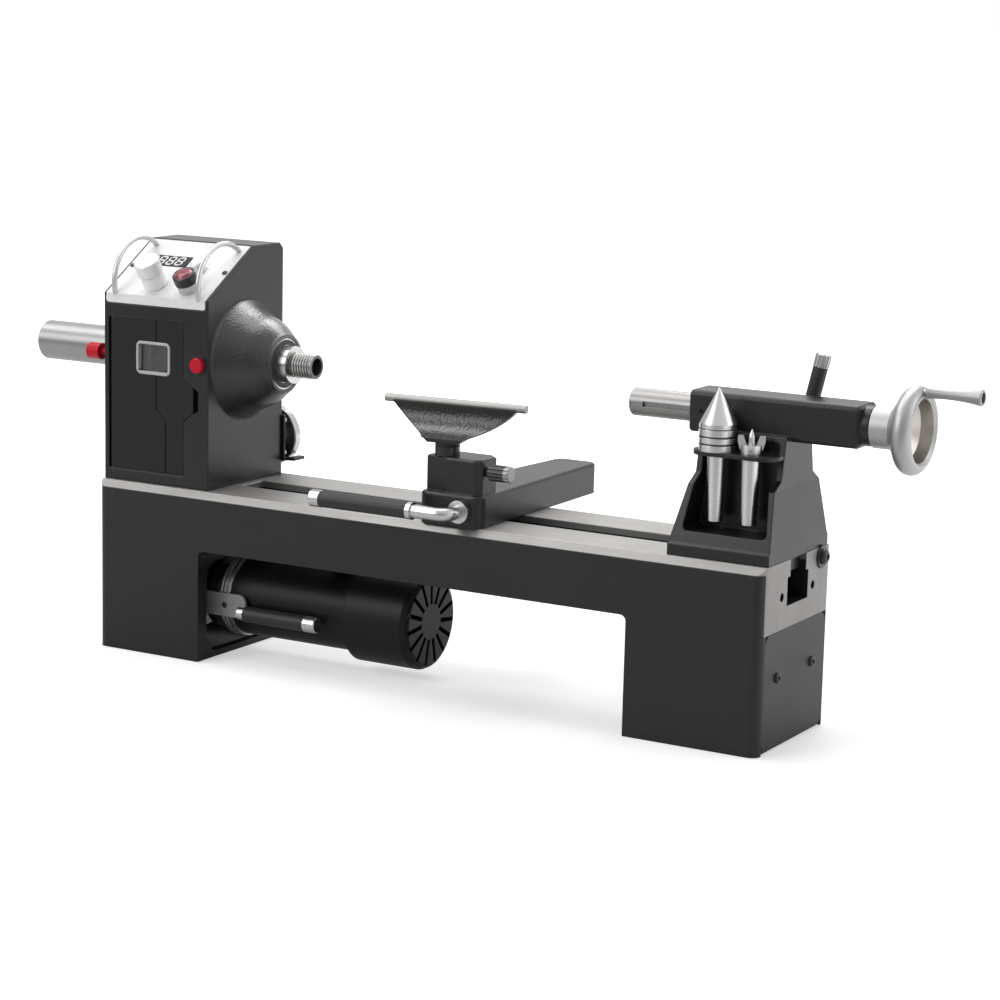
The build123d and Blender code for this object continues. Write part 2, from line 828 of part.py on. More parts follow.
with BuildPart() as belt_door:
    leaf = [
        (door_hinge_x, door_low), (door_right, door_low), (door_right, door_tab_low + door_play),
        (door_tab_right, door_tab_low + door_tab_slant + door_play),
        (door_tab_right, door_tab_high - door_tab_slant - door_play), (door_right, door_tab_high - door_play),
        (door_right, door_high), (door_hinge_x, door_high),
    ]
    sheet(facing_front(-head_half + door_thick), leaf, door_thick)
    rod((door_hinge_x, door_hinge_y, door_low), (0, 0, 1), door_knuckle_r, door_high - door_low)
    for start in (door_low - past, door_high - door_pin_bite):
        rod((door_hinge_x, door_hinge_y, start), (0, 0, 1), door_pin_r + running_gap, door_pin_bite + past,
            Mode.SUBTRACT)
    sheet(facing_front(-head_half + door_thick + past),
          rim(door_window_left, door_window_low, door_window_right, door_window_high),
          door_thick + 2 * past, Mode.SUBTRACT, door_window_corner)
    sheet(facing_front(-head_half + door_thick + past),
          rim(door_window_left - door_window_lip, door_window_low - door_window_lip,
              door_window_right + door_window_lip, door_window_high + door_window_lip),
          past + door_window_thick, Mode.SUBTRACT, door_window_corner)
    trail = [(groove_top_x, door_high + past), (groove_top_x, groove_bend_high),
             (groove_low_x, groove_bend_low), (groove_low_x, door_low - past)]
    strip = trail + [(x + door_groove, z) for x, z in reversed(trail)]
    sheet(facing_front(-head_half + door_groove_depth), strip, door_groove_depth + past, Mode.SUBTRACT)
save(belt_door, "belt_door")

with BuildPart() as door_window:
    sheet(facing_front(-head_half + door_thick),
          rim(door_window_left - door_window_lip, door_window_low - door_window_lip,
              door_window_right + door_window_lip, door_window_high + door_window_lip),
          door_window_thick, Mode.ADD, door_window_corner)
    sheet(facing_front(-head_half + door_thick - door_window_thick),
          rim(door_window_left + seat_gap, door_window_low + seat_gap, door_window_right - seat_gap,
              door_window_high - seat_gap),
          door_thick - door_window_thick + door_window_proud, Mode.ADD, door_window_corner - seat_gap)
    sheet(facing_front(-head_half + door_thick - door_window_thick),
          rim(door_window_left + door_window_frame, door_window_low + door_window_frame,
              door_window_right - door_window_frame, door_window_high - door_window_frame),
          door_thick + past, Mode.SUBTRACT, door_window_corner - door_window_frame)
    chamfer(door_window.faces().sort_by(Axis.Y)[0].edges(), door_window_proud)
save(door_window, "door_window")

with BuildPart() as door_pins:
    for start in (door_low - door_play - door_pin_bite, door_high - door_pin_bite + moving_gap):
        rod((door_hinge_x, door_hinge_y, start), (0, 0, 1), door_pin_r,
            2 * door_pin_bite + door_play - moving_gap)
save(door_pins, "door_pins")

with BuildPart() as control_panel:
    sheet(slope_plane.offset(-panel_thick), rim(panel_left, 0, panel_right, panel_length), panel_thick)
    with BuildSketch(facing_front(-head_half + panel_thick)) as fold:
        with BuildLine():
            Polyline(*rim(panel_left, slope_low - panel_lip, panel_right, slope_low), close=True)
        make_face()
        fillet(fold.vertices().group_by(Axis.Z)[0], panel_lip_corner)
    extrude(fold.sketch, amount=panel_thick)
    for x, s in ((speed_knob_x, speed_knob_s), (direction_knob_x, direction_knob_s)):
        rod(on_slope(x, s, -past), slope_out, knob_shaft_r + moving_gap, 2 * past, Mode.SUBTRACT)
    rod(on_slope(button_x, button_s, -past), slope_out, bezel_stem_r + seat_gap, 2 * past, Mode.SUBTRACT)
    sheet(slope_plane.offset(-past),
          rim(display_left - seat_gap, display_low - seat_gap, display_right + seat_gap,
              display_high + seat_gap),
          2 * past, Mode.SUBTRACT)
    for x in (panel_screw_left, panel_screw_right):
        rod(on_slope(x, panel_screw_s, -past), slope_out, panel_screw_r + seat_gap, 2 * past, Mode.SUBTRACT)
save(control_panel, "control_panel")

with BuildPart() as case_screws:
    for side in (-1, 1):
        turned((bed_end, side * cover_screw_y, cover_screw_z), (1, 0, 0), [
            (-cover_screw_depth, 0), (-cover_screw_depth, cover_screw_r), (0, cover_screw_r),
            (0, cover_screw_head_r), (cover_screw_head / 2, cover_screw_head_r * screw_dome),
            (cover_screw_head, cover_screw_head_r / 2), (cover_screw_head, 0),
        ])
    for x in (panel_screw_left, panel_screw_right):
        turned(on_slope(x, panel_screw_s), tuple(slope_out), [
            (-panel_screw_depth, 0), (-panel_screw_depth, panel_screw_r), (0, panel_screw_r),
            (0, panel_screw_head_r), (panel_screw_head / 2, panel_screw_head_r * screw_dome),
            (panel_screw_head, panel_screw_head_r / 2), (panel_screw_head, 0),
        ])
save(case_screws, "case_screws")

guard_half = (guard_end - guard_start) / 2
guard_bend_r = (guard_half ** 2 + guard_lift ** 2) / (2 * guard_lift)

with BuildPart() as guard_bars:
    for x in (guard_left, guard_right):
        centre = on_slope(x, guard_start + guard_half, guard_lift - guard_bend_r)
        with Locations(Plane(origin=centre, z_dir=(1, 0, 0))):
            Torus(guard_bend_r, guard_rod_r)
    split(bisect_by=slope_plane, keep=Keep.TOP)
save(guard_bars, "guard_bars")

knob_low = moving_gap
shaft_end = -panel_thick - pot_depth

with BuildPart() as speed_knob:
    turned(on_slope(speed_knob_x, speed_knob_s), tuple(slope_out), [
        (shaft_end, 0), (shaft_end, knob_shaft_r), (knob_low, knob_shaft_r), (knob_low, speed_knob_r),
        (speed_knob_skirt, speed_knob_r), (speed_knob_skirt, speed_knob_r - speed_knob_groove),
        (speed_knob_skirt + speed_knob_groove, speed_knob_r - speed_knob_groove),
        (speed_knob_skirt + speed_knob_groove, speed_knob_top_r - knob_edge / 2),
        (speed_knob_skirt + speed_knob_groove + knob_edge / 2, speed_knob_top_r),
        (speed_knob_height - knob_edge, speed_knob_top_r),
        (speed_knob_height, speed_knob_top_r - knob_edge), (speed_knob_height, 0),
    ])
save(speed_knob, "speed_knob")

with BuildPart() as direction_knob:
    with BuildSketch(Plane(origin=on_slope(direction_knob_x, direction_knob_s), x_dir=tuple(slope_out),
                           z_dir=(-1, 0, 0))) as dome:
        with BuildLine():
            Polyline((direction_knob_height, 0), (shaft_end, 0), (shaft_end, knob_shaft_r),
                     (knob_low, knob_shaft_r), (knob_low, direction_knob_r),
                     (direction_knob_height / 3, direction_knob_r))
            Spline((direction_knob_height / 3, direction_knob_r), (direction_knob_height, 0),
                   tangents=((1, 0), (0, -1)))
        make_face()
    revolve(dome.sketch, axis=Axis(on_slope(direction_knob_x, direction_knob_s), tuple(slope_out)))
save(direction_knob, "direction_knob")

with BuildPart() as button_bezel:
    turned(on_slope(button_x, button_s), tuple(slope_out), [
        (-bezel_depth, 0), (-bezel_depth, bezel_stem_r), (0, bezel_stem_r), (0, bezel_base_r),
        (bezel_base, bezel_base_r), (bezel_base, bezel_r), (bezel_height - knob_edge, bezel_r),
        (bezel_height, bezel_r - knob_edge),
        (bezel_height, button_r + running_gap), (-button_depth - button_travel, button_r + running_gap),
        (-button_depth - button_travel, 0),
    ])
save(button_bezel, "button_bezel")

with BuildPart() as power_button:
    turned(on_slope(button_x, button_s), tuple(slope_out), [
        (-button_depth, 0), (-button_depth, button_r), (bezel_height, button_r),
        (button_height - button_crown / 3, button_r - button_crown),
        (button_height, button_r - 2 * button_crown), (button_height, 0),
    ])
save(power_button, "power_button")

with BuildPart() as speed_display:
    sheet(slope_plane.offset(-display_depth), rim(display_left, display_low, display_right, display_high),
          display_depth + display_proud)
save(speed_display, "speed_display")

with BuildPart() as speed_controller:
    block((controller_left, controller_front, inner_top - controller_height),
          (controller_right, controller_back, inner_top))
    for x, s in ((speed_knob_x, speed_knob_s), (direction_knob_x, direction_knob_s)):
        rod(on_slope(x, s, shaft_end), slope_out, pot_r, pot_depth)
        rod(on_slope(x, s, shaft_end - past), slope_out, knob_shaft_r + running_gap, pot_depth + 2 * past,
            Mode.SUBTRACT)
save(speed_controller, "speed_controller")

lock_face = -head_half - lock_sleeve_proud
lock_floor = -head_half + lock_sleeve_depth

with BuildPart() as lock_sleeve:
    turned((lock_x, 0, axis_z), (0, 1, 0), [
        (lock_face, lock_button_r + running_gap), (lock_face, lock_sleeve_lip_r),
        (-head_half, lock_sleeve_lip_r),
        (-head_half, lock_sleeve_r), (lock_floor, lock_sleeve_r), (lock_floor, lock_plunger_r + running_gap),
        (lock_floor - lock_sleeve_floor, lock_plunger_r + running_gap),
        (lock_floor - lock_sleeve_floor, lock_button_r + running_gap),
    ])
save(lock_sleeve, "lock_sleeve")

lock_front = -head_half - lock_button_proud

with BuildPart() as lock_button:
    turned((lock_x, 0, axis_z), (0, 1, 0), [
        (lock_front, 0), (lock_front, lock_button_r - knob_edge), (lock_front + knob_edge, lock_button_r),
        (lock_front + lock_button_thick, lock_button_r), (lock_front + lock_button_thick, lock_plunger_r),
        (lock_plunger_end, lock_plunger_r), (lock_plunger_end, 0),
    ])
save(lock_button, "lock_button")

with BuildPart() as index_pin:
    turned((0, -index_circle_r, axis_z), (1, 0, 0), [
        (index_knob_left, 0), (index_knob_left, index_knob_r - knob_edge),
        (index_knob_left + knob_edge, index_knob_r), (index_knob_right, index_knob_r),
        (index_knob_right, index_pin_r), (index_pin_right - knob_edge, index_pin_r),
        (index_pin_right, index_pin_r - knob_edge), (index_pin_right, 0),
    ])
save(index_pin, "index_pin")

with BuildPart() as faceplate:
    turned((faceplate_x, 0, faceplate_z), (0, 1, 0), [
        (faceplate_hub_front, spindle_thread_r), (faceplate_hub_front, faceplate_hub_r),
        (faceplate_front, faceplate_hub_r), (faceplate_front, faceplate_r - knob_edge),
        (faceplate_front + knob_edge, faceplate_r),
        (faceplate_front + faceplate_thick - knob_edge, faceplate_r),
        (faceplate_front + faceplate_thick, faceplate_r - knob_edge),
        (faceplate_front + faceplate_thick, spindle_thread_r),
    ])
    with Locations(Plane(origin=(faceplate_x, faceplate_front - past, faceplate_z), z_dir=(0, 1, 0))):
        with PolarLocations(faceplate_screw_circle, faceplate_screw_count, faceplate_screw_turn):
            Cylinder(faceplate_screw_r, faceplate_thick + 2 * past,
                     align=(Align.CENTER, Align.CENTER, Align.MIN), mode=Mode.SUBTRACT)
save(faceplate, "faceplate")

with BuildPart() as rear_bracket:
    block((faceplate_x - bracket_plate_half, head_half, faceplate_z - bracket_plate_half),
          (faceplate_x + bracket_plate_half, head_half + bracket_plate, faceplate_z + bracket_plate_half))
    rod((faceplate_x, head_half, faceplate_z), (0, 1, 0), bracket_peg_r, bracket_peg_end - head_half)
    shelf = [
        (tab_left, head_half), (head_right - past, head_half), (tab_right, head_half + past),
        (tab_right, tab_back),
        (tab_inner, tab_back), (tab_inner, tab_step), (tab_left, tab_step),
    ]
    sheet(Plane.XY.offset(tab_low), shelf, tab_thick)
save(rear_bracket, "rear_bracket")

with BuildPart() as power_inlet:
    block((inlet_x - inlet_half_x, head_half - inlet_depth, inlet_z - inlet_half_z),
          (inlet_x + inlet_half_x, head_half, inlet_z + inlet_half_z))
    block((inlet_x - inlet_half_x - inlet_flange, head_half, inlet_z - inlet_half_z - inlet_flange),
          (inlet_x + inlet_half_x + inlet_flange, head_half + inlet_proud,
           inlet_z + inlet_half_z + inlet_flange))
    block((inlet_x - inlet_socket_half_x, head_half - inlet_depth / 2, inlet_z - 2 * inlet_socket_half_z),
          (inlet_x + inlet_socket_half_x, head_half + inlet_proud + past, inlet_z), Mode.SUBTRACT)
    fillet(power_inlet.edges().filter_by(Axis.Y).group_by(Axis.X)[0], inlet_flange)
    fillet(power_inlet.edges().filter_by(Axis.Y).group_by(Axis.X)[-1], inlet_flange)
save(power_inlet, "power_inlet")

with BuildPart() as spindle:
    turned(spindle_start, (1, 0, 0), [
        (spindle_left, 0), (spindle_left, spindle_journal_r), (collar_left, spindle_journal_r),
        (collar_left, collar_r), (collar_right, collar_r), (collar_right, spindle_journal_r),
        (spindle_register_left, spindle_journal_r), (spindle_register_left, spindle_register_r),
        (spindle_register_right, spindle_register_r), (spindle_register_right, spindle_thread_r),
        (spindle_nose - knob_edge, spindle_thread_r), (spindle_nose, spindle_thread_r - knob_edge),
        (spindle_nose, 0),
    ])
    turned(spindle_start, (1, 0, 0), [
        (spindle_left - past, 0), (spindle_left - past, spindle_bore_r),
        (spindle_nose - taper_depth, spindle_bore_r), (spindle_nose - taper_depth, taper_end_r),
        (spindle_nose, taper_mouth_r), (spindle_nose + past, taper_mouth_r), (spindle_nose + past, 0),
    ], Mode.SUBTRACT)
    for along in ((0, 1, 0), (0, -1, 0), (0, 0, 1), (0, 0, -1)):
        start = tuple(b + (collar_r - collar_hole_depth) * a for a, b in zip(along, (lock_x, 0, axis_z)))
        rod(start, along, collar_hole_r, collar_hole_depth + past, Mode.SUBTRACT)
save(spindle, "spindle")

with BuildPart() as outboard_sleeve:
    turned(spindle_start, (1, 0, 0), [
        (sleeve_left, sleeve_bore_r), (sleeve_left, sleeve_r - knob_edge),
        (sleeve_left + knob_edge, sleeve_r),
        (sleeve_right - knob_edge, sleeve_r), (sleeve_right, sleeve_r - knob_edge),
        (sleeve_right, spindle_journal_r), (sleeve_right - sleeve_hub, spindle_journal_r),
        (sleeve_right - sleeve_hub, sleeve_bore_r),
    ])
save(outboard_sleeve, "outboard_sleeve")

with BuildPart() as spindle_pulley:
    turned(spindle_start, (1, 0, 0), [
        (pulley_left, spindle_journal_r), (pulley_left, pulley_big_r), (mid_step_left, pulley_big_r),
        (mid_step_left, pulley_mid_r), (mid_step_left + pulley_step, pulley_mid_r),
        (mid_step_left + pulley_step, pulley_small_r), (mid_step_left + 2 * pulley_step, pulley_small_r),
        (mid_step_left + 2 * pulley_step, pulley_hub_r), (pulley_hub_right, pulley_hub_r),
        (pulley_hub_right, spindle_journal_r),
    ])
    for i in range(index_count):
        turn = radians(180 + i * 360 / index_count)
        rod((pulley_left - past, index_circle_r * cos(turn), axis_z + index_circle_r * sin(turn)), (1, 0, 0),
            index_hole_r, index_hole_depth + past, Mode.SUBTRACT)
save(spindle_pulley, "spindle_pulley")


def hull(plane, rounds, depth, mode=Mode.ADD):
    with BuildSketch(plane) as profile:
        with BuildLine():
            for centre, radius in rounds:
                CenterArc(centre, radius, 0, 360)
        make_hull()
    extrude(profile.sketch, amount=depth, mode=mode)


motor_start = (0, 0, motor_z)

with BuildPart() as pivot_pin:
    rod((motor_plate_left - moving_gap - pivot_head, pivot_y, pivot_z), (1, 0, 0), pivot_head_r, pivot_head)
    rod((motor_plate_left - moving_gap - pivot_head, pivot_y, pivot_z), (1, 0, 0), pivot_r,
        arch_left - motor_plate_left + moving_gap + pivot_head)
save(pivot_pin, "pivot_pin")

with BuildPart() as motor_plate:
    plate_depth = motor_plate_right - motor_plate_left
    hull(facing_right(motor_plate_left), (((0, motor_z), motor_plate_r), ((pivot_y, pivot_z), pivot_ear_r)),
         plate_depth)
    block((motor_plate_left, lever_strip_front, lever_strip_low), (motor_plate_right, 0, lever_strip_high))
    rod((motor_plate_left - past, pivot_y, pivot_z), (1, 0, 0), pivot_r + running_gap, plate_depth + 2 * past,
        Mode.SUBTRACT)
    rod((motor_plate_left - past, 0, motor_z), (1, 0, 0), motor_shaft_r + shaft_room, plate_depth + 2 * past,
        Mode.SUBTRACT)
save(motor_plate, "motor_plate")

with BuildPart() as motor_end_bell:
    groove_x = bell_left + bell_groove
    turned(motor_start, (1, 0, 0), [
        (motor_plate_right, motor_shaft_r + running_gap), (motor_plate_right, bell_boss_r),
        (bell_left, bell_boss_r), (bell_left, bell_r), (groove_x, bell_r),
        (groove_x, bell_r - bell_groove / 2),
        (groove_x + bell_groove, bell_r - bell_groove / 2), (groove_x + bell_groove, bell_r),
        (groove_x + 2 * bell_groove, bell_r), (groove_x + 2 * bell_groove, bell_r - bell_groove / 2),
        (groove_x + 3 * bell_groove, bell_r - bell_groove / 2), (groove_x + 3 * bell_groove, bell_r),
        (bell_right, bell_r), (bell_right, motor_shaft_r + running_gap),
    ])
save(motor_end_bell, "motor_end_bell")

with BuildPart() as motor_housing:
    turned(motor_start, (1, 0, 0), [
        (bell_right, motor_r - motor_wall), (bell_right, motor_r), (motor_right, motor_r),
        (motor_right, motor_shaft_r + running_gap), (motor_right - motor_shield, motor_shaft_r + running_gap),
        (motor_right - motor_shield, motor_r - motor_wall),
    ])
save(motor_housing, "motor_housing")

with BuildPart() as fan_cover:
    turned(motor_start, (1, 0, 0), [
        (motor_right, fan_inlet_r), (motor_right, fan_cover_r),
        (fan_cover_right - fan_cover_round, fan_cover_r),
        (fan_cover_right - fan_cover_round / 3, fan_cover_r - fan_cover_round / 3),
        (fan_cover_right, fan_cover_r - fan_cover_round), (fan_cover_right, 0),
        (fan_cover_right - fan_cover_wall, 0),
        (fan_cover_right - fan_cover_wall, fan_cover_r - fan_cover_wall - fan_cover_round),
        (fan_cover_right - fan_cover_wall - fan_cover_round, fan_cover_r - fan_cover_wall),
        (motor_right + fan_cover_wall, fan_cover_r - fan_cover_wall),
        (motor_right + fan_cover_wall, fan_inlet_r),
    ])
    for i in range(fan_slot_count):
        turn = 90 + i * 360 / fan_slot_count
        with Locations(Plane(origin=(fan_cover_right, 0, motor_z), x_dir=(0, 1, 0), z_dir=(1, 0, 0))):
            with Locations(Rotation(0, 0, turn)):
                with Locations(((fan_slot_inner + fan_slot_outer) / 2, 0, 0)):
                    Box(fan_slot_outer - fan_slot_inner, fan_slot_width, 4 * fan_cover_wall,
                        mode=Mode.SUBTRACT)
save(fan_cover, "fan_cover")

with BuildPart() as motor_shaft:
    turned(motor_start, (1, 0, 0), [
        (motor_shaft_left, 0), (motor_shaft_left, motor_shaft_r), (rotor_left, motor_shaft_r),
        (rotor_left, rotor_r), (rotor_right, rotor_r), (rotor_right, motor_shaft_r),
        (motor_shaft_right, motor_shaft_r), (motor_shaft_right, 0),
    ])
save(motor_shaft, "motor_shaft")

with BuildPart() as motor_pulley:
    turned(motor_start, (1, 0, 0), [
        (pulley_left, motor_shaft_r), (pulley_left, motor_pulley_small_r),
        (mid_step_left, motor_pulley_small_r),
        (mid_step_left, motor_pulley_mid_r), (mid_step_left + pulley_step, motor_pulley_mid_r),
        (mid_step_left + pulley_step, motor_pulley_big_r),
        (mid_step_left + 2 * pulley_step, motor_pulley_big_r),
        (mid_step_left + 2 * pulley_step, motor_shaft_r),
    ])
save(motor_pulley, "motor_pulley")

with BuildPart() as cooling_fan:
    rod((fan_left, 0, motor_z), (1, 0, 0), fan_hub_r, fan_right - fan_left)
    for i in range(fan_blade_count):
        with Locations(Plane(origin=(fan_left, 0, motor_z), x_dir=(0, 1, 0), z_dir=(1, 0, 0))):
            with Locations(Rotation(0, 0, i * 360 / fan_blade_count)):
                Box(fan_r, fan_blade, fan_right - fan_left, align=(Align.MIN, Align.CENTER, Align.MIN))
    rod((fan_left - past, 0, motor_z), (1, 0, 0), motor_shaft_r, fan_right - fan_left + 2 * past,
        Mode.SUBTRACT)
save(cooling_fan, "cooling_fan")

with BuildPart() as drive_belt:
    belt_left = mid_step_left + (pulley_step - belt_width) / 2
    inside = moving_gap
    outside = moving_gap + belt_thick
    hull(facing_right(belt_left),
         (((0, axis_z), pulley_mid_r + outside), ((0, motor_z), motor_pulley_mid_r + outside)), belt_width)
    hull(facing_right(belt_left - past),
         (((0, axis_z), pulley_mid_r + inside), ((0, motor_z), motor_pulley_mid_r + inside)),
         belt_width + 2 * past, Mode.SUBTRACT)
save(drive_belt, "drive_belt")

with BuildPart() as tension_lever:
    block((motor_plate_right, lever_strip_front, lever_strip_low),
          (lever_strip_right, lever_strip_front + lever_strip_thick, lever_strip_high))
    fillet(tension_lever.edges().filter_by(Axis.Y).group_by(Axis.X)[-1], lever_strip_round)
    turned((0, lever_grip_y, lever_grip_z), (1, 0, 0), [
        (lever_ferrule_left, 0), (lever_ferrule_left, lever_grip_r - knob_edge),
        (lever_ferrule_right, lever_grip_r - knob_edge), (lever_ferrule_right, lever_rod_r),
        (lever_grip_right, lever_rod_r), (lever_grip_right, lever_grip_r),
        (lever_cap_right - knob_edge, lever_grip_r),
        (lever_cap_right, lever_grip_r - knob_edge), (lever_cap_right, 0),
    ])
save(tension_lever, "tension_lever")

with BuildPart() as tension_grip:
    rod((lever_ferrule_right, lever_grip_y, lever_grip_z), (1, 0, 0), lever_grip_r,
        lever_grip_right - lever_ferrule_right)
    rod((lever_ferrule_right - past, lever_grip_y, lever_grip_z), (1, 0, 0), lever_rod_r,
        lever_grip_right - lever_ferrule_right + 2 * past, Mode.SUBTRACT)
save(tension_grip, "tension_grip")

plate_top = way_low - moving_gap

with BuildPart() as rest_clamp_plate:
    block((rest_bolt_x - rest_plate_length / 2, -rest_plate_half, plate_top - rest_plate_thick),
          (rest_bolt_x + rest_plate_length / 2, rest_plate_half, plate_top))
    fillet(rest_clamp_plate.edges().filter_by(Axis.Z), clamp_plate_round)
    rod((rest_bolt_x, 0, plate_top - rest_plate_thick - past), (0, 0, 1), rest_bolt_r + running_gap,
        rest_plate_thick + 2 * past, Mode.SUBTRACT)
save(rest_clamp_plate, "rest_clamp_plate")

with BuildPart() as rest_clamp_bolt:
    head_up = plate_top - rest_plate_thick - moving_gap
    rod((rest_bolt_x, 0, head_up - rest_bolt_head), (0, 0, 1), rest_bolt_head_r, rest_bolt_head)
    rod((rest_bolt_x, 0, head_up), (0, 0, 1), rest_bolt_r, cam_z - head_up)
    rod((rest_bolt_x, -cam_eye_half, cam_z), (0, 1, 0), cam_eye_r, 2 * cam_eye_half)
    rod((rest_bolt_x, -cam_eye_half - past, cam_z), (0, 1, 0), cam_eye_bore, 2 * (cam_eye_half + past),
        Mode.SUBTRACT)
save(rest_clamp_bolt, "rest_clamp_bolt")

with BuildPart() as banjo:
    foot = [(banjo_front_left, banjo_front), (banjo_front_right, banjo_front), (banjo_back_right, banjo_back),
            (banjo_back_left, banjo_back)]
    sheet(Plane.XY.offset(bed_height), foot, banjo_top - bed_height, Mode.ADD, banjo_corner)
    fillet(banjo.edges().group_by(Axis.Z)[-1], banjo_round)
    raised = [
        (block_left, block_front + block_facet_y), (block_left + block_facet_x, block_front),
        (block_right - block_front_bevel, block_front), (block_right, block_front + block_front_bevel),
        (block_right, block_back - block_bevel), (block_right - block_bevel, block_back),
        (block_left + block_bevel, block_back), (block_left, block_back - block_bevel),
    ]
    sheet(Plane.XY.offset(banjo_top - banjo_round), raised, block_top - banjo_top + banjo_round)
    chamfer(banjo.faces().sort_by(Axis.Z)[-1].edges(), block_edge)
    block((rest_bolt_x - banjo_cavity_half, banjo_cavity_front, bed_height - past),
          (rest_bolt_x + banjo_cavity_half, banjo_cavity_back, banjo_cavity_top), Mode.SUBTRACT)
    rod((rest_bolt_x, banjo_front - past, cam_z), (0, 1, 0), cam_journal_r + running_gap,
        banjo_cavity_front - banjo_front + 2 * past, Mode.SUBTRACT)
    rod((rest_bolt_x, banjo_cavity_back - past, cam_z), (0, 1, 0), cam_tail_r + running_gap,
        cam_tail + 2 * past, Mode.SUBTRACT)
    rod((post_x, post_y, bed_height - past), (0, 0, 1), post_r + running_gap,
        block_top - bed_height + 2 * past,
        Mode.SUBTRACT)
    rod((post_x, post_y, rest_knob_z), (1, 0, 0), rest_screw_r + running_gap, block_right - post_x + past,
        Mode.SUBTRACT)
save(banjo, "banjo")

with BuildPart() as banjo_cam_lever:
    flange_front = banjo_front - moving_gap - flange_thick
    rod((rest_bolt_x, flange_front, cam_z), (0, 1, 0), flange_r, flange_thick)
    rod((rest_bolt_x, flange_front, cam_z), (0, 1, 0), cam_journal_r,
        banjo_cavity_front - flange_front - moving_gap)
    rod((rest_bolt_x, banjo_cavity_front - moving_gap, cam_z - cam_throw), (0, 1, 0), cam_pin_r,
        banjo_cavity_back - banjo_cavity_front)
    rod((rest_bolt_x, banjo_cavity_back - 2 * moving_gap, cam_z), (0, 1, 0), cam_tail_r, cam_tail)
    with BuildLine() as bent:
        FilletPolyline((rest_bolt_x, flange_front + flange_thick / 2, cam_z), (rest_bolt_x, arm_y, cam_z),
                       (arm_grip_right, arm_y, cam_z), radius=arm_bend)
    with BuildSketch(Plane(origin=bent.line @ 0, z_dir=bent.line % 0)):
        Circle(arm_r)
    sweep()
    turned((0, arm_y, cam_z), (1, 0, 0), [
        (arm_grip_right + arm_ferrule, 0), (arm_grip_right + arm_ferrule, arm_ferrule_r),
        (arm_grip_right, arm_ferrule_r), (arm_grip_right, lever_rod_r), (arm_grip_left, lever_rod_r),
        (arm_grip_left, arm_ferrule_r), (arm_cap_left + knob_edge, arm_ferrule_r),
        (arm_cap_left, arm_ferrule_r - knob_edge), (arm_cap_left, 0),
    ])
save(banjo_cam_lever, "banjo_cam_lever")

with BuildPart() as banjo_lever_grip:
    rod((arm_grip_left, arm_y, cam_z), (1, 0, 0), arm_grip_r, arm_grip_right - arm_grip_left)
    rod((arm_grip_left - past, arm_y, cam_z), (1, 0, 0), lever_rod_r,
        arm_grip_right - arm_grip_left + 2 * past,
        Mode.SUBTRACT)
save(banjo_lever_grip, "banjo_lever_grip")

with BuildPart() as height_collar:
    rod((post_x, post_y, block_top), (0, 0, 1), collar_od / 2, collar_height)
    rod((post_x, post_y, block_top - past), (0, 0, 1), post_r + running_gap, collar_height + 2 * past,
        Mode.SUBTRACT)
save(height_collar, "height_collar")

rest_low = block_top + collar_height + moving_gap
rest_u = (cos(radians(rest_turn)), sin(radians(rest_turn)), 0)
rest_v = (-sin(radians(rest_turn)), cos(radians(rest_turn)), 0)
bar_middle = (post_x + rest_bar_back * rest_v[0], post_y + rest_bar_back * rest_v[1], rest_bar_z)
bar_start = tuple(c - rest_bar_length / 2 * d for c, d in zip(bar_middle, rest_u))

rest_section = Plane(origin=(post_x, post_y, 0), x_dir=rest_v, z_dir=rest_u)
rest_face = Plane(origin=(post_x, post_y, 0), x_dir=rest_u, z_dir=tuple(-a for a in rest_v))

with BuildPart() as tool_rest:
    with BuildSketch(rest_section.offset(-rest_wing_half)) as strip:
        with BuildLine():
            Line((rest_bar_back + rest_seat_half, rest_seat_z), (rest_bar_back - rest_seat_half, rest_seat_z))
            ThreePointArc((rest_bar_back - rest_seat_half, rest_seat_z), rest_front_bend,
                          (rest_lip, rest_lip_high))
            Line((rest_lip, rest_lip_high), (rest_lip, rest_lip_low))
            ThreePointArc((rest_lip, rest_lip_low), rest_back_bend,
                          (rest_bar_back + rest_seat_half, rest_seat_z))
        make_face()
    extrude(strip.sketch, amount=2 * rest_wing_half)
    with BuildSketch(rest_face.offset(-rest_bar_length)) as outline:
        with BuildLine():
            Polyline((-rest_wing_half, rest_wing_low), (-rest_wing_half, rest_bar_z),
                     (rest_wing_half, rest_bar_z),
                     (rest_wing_half, rest_wing_low))
            ThreePointArc((rest_wing_half, rest_wing_low), rest_wing_curve, (rest_lip_half, rest_lip_side))
            Polyline((rest_lip_half, rest_lip_side), (rest_hub_r, rest_low), (-rest_hub_r, rest_low),
                     (-rest_lip_half, rest_lip_side))
            ThreePointArc((-rest_lip_half, rest_lip_side), (-rest_wing_curve[0], rest_wing_curve[1]),
                          (-rest_wing_half, rest_wing_low))
        make_face()
    extrude(outline.sketch, amount=2 * rest_bar_length, mode=Mode.INTERSECT)
    rod((post_x, post_y, rest_low), (0, 0, 1), rest_hub_r, rest_hub_top - rest_low)
    rod((post_x, post_y, post_low), (0, 0, 1), post_r, rest_hub_top - post_low)
    with BuildSketch(rest_section.offset(-rest_wing_half)) as hollow:
        with BuildLine():
            ThreePointArc((rest_bar_back - rest_seat_half, rest_seat_z), rest_front_bend,
                          (rest_lip, rest_lip_high))
            Polyline((rest_lip, rest_lip_high), (-rest_bar_length, rest_lip_high),
                     (-rest_bar_length, rest_seat_z),
                     (rest_bar_back - rest_seat_half, rest_seat_z))
        make_face()
    extrude(hollow.sketch, amount=2 * rest_wing_half, mode=Mode.SUBTRACT)
    rod(tuple(a - past * b for a, b in zip(bar_start, rest_u)), rest_u, rest_bar_r,
        rest_bar_length + 2 * past,
        Mode.SUBTRACT)
save(tool_rest, "tool_rest")

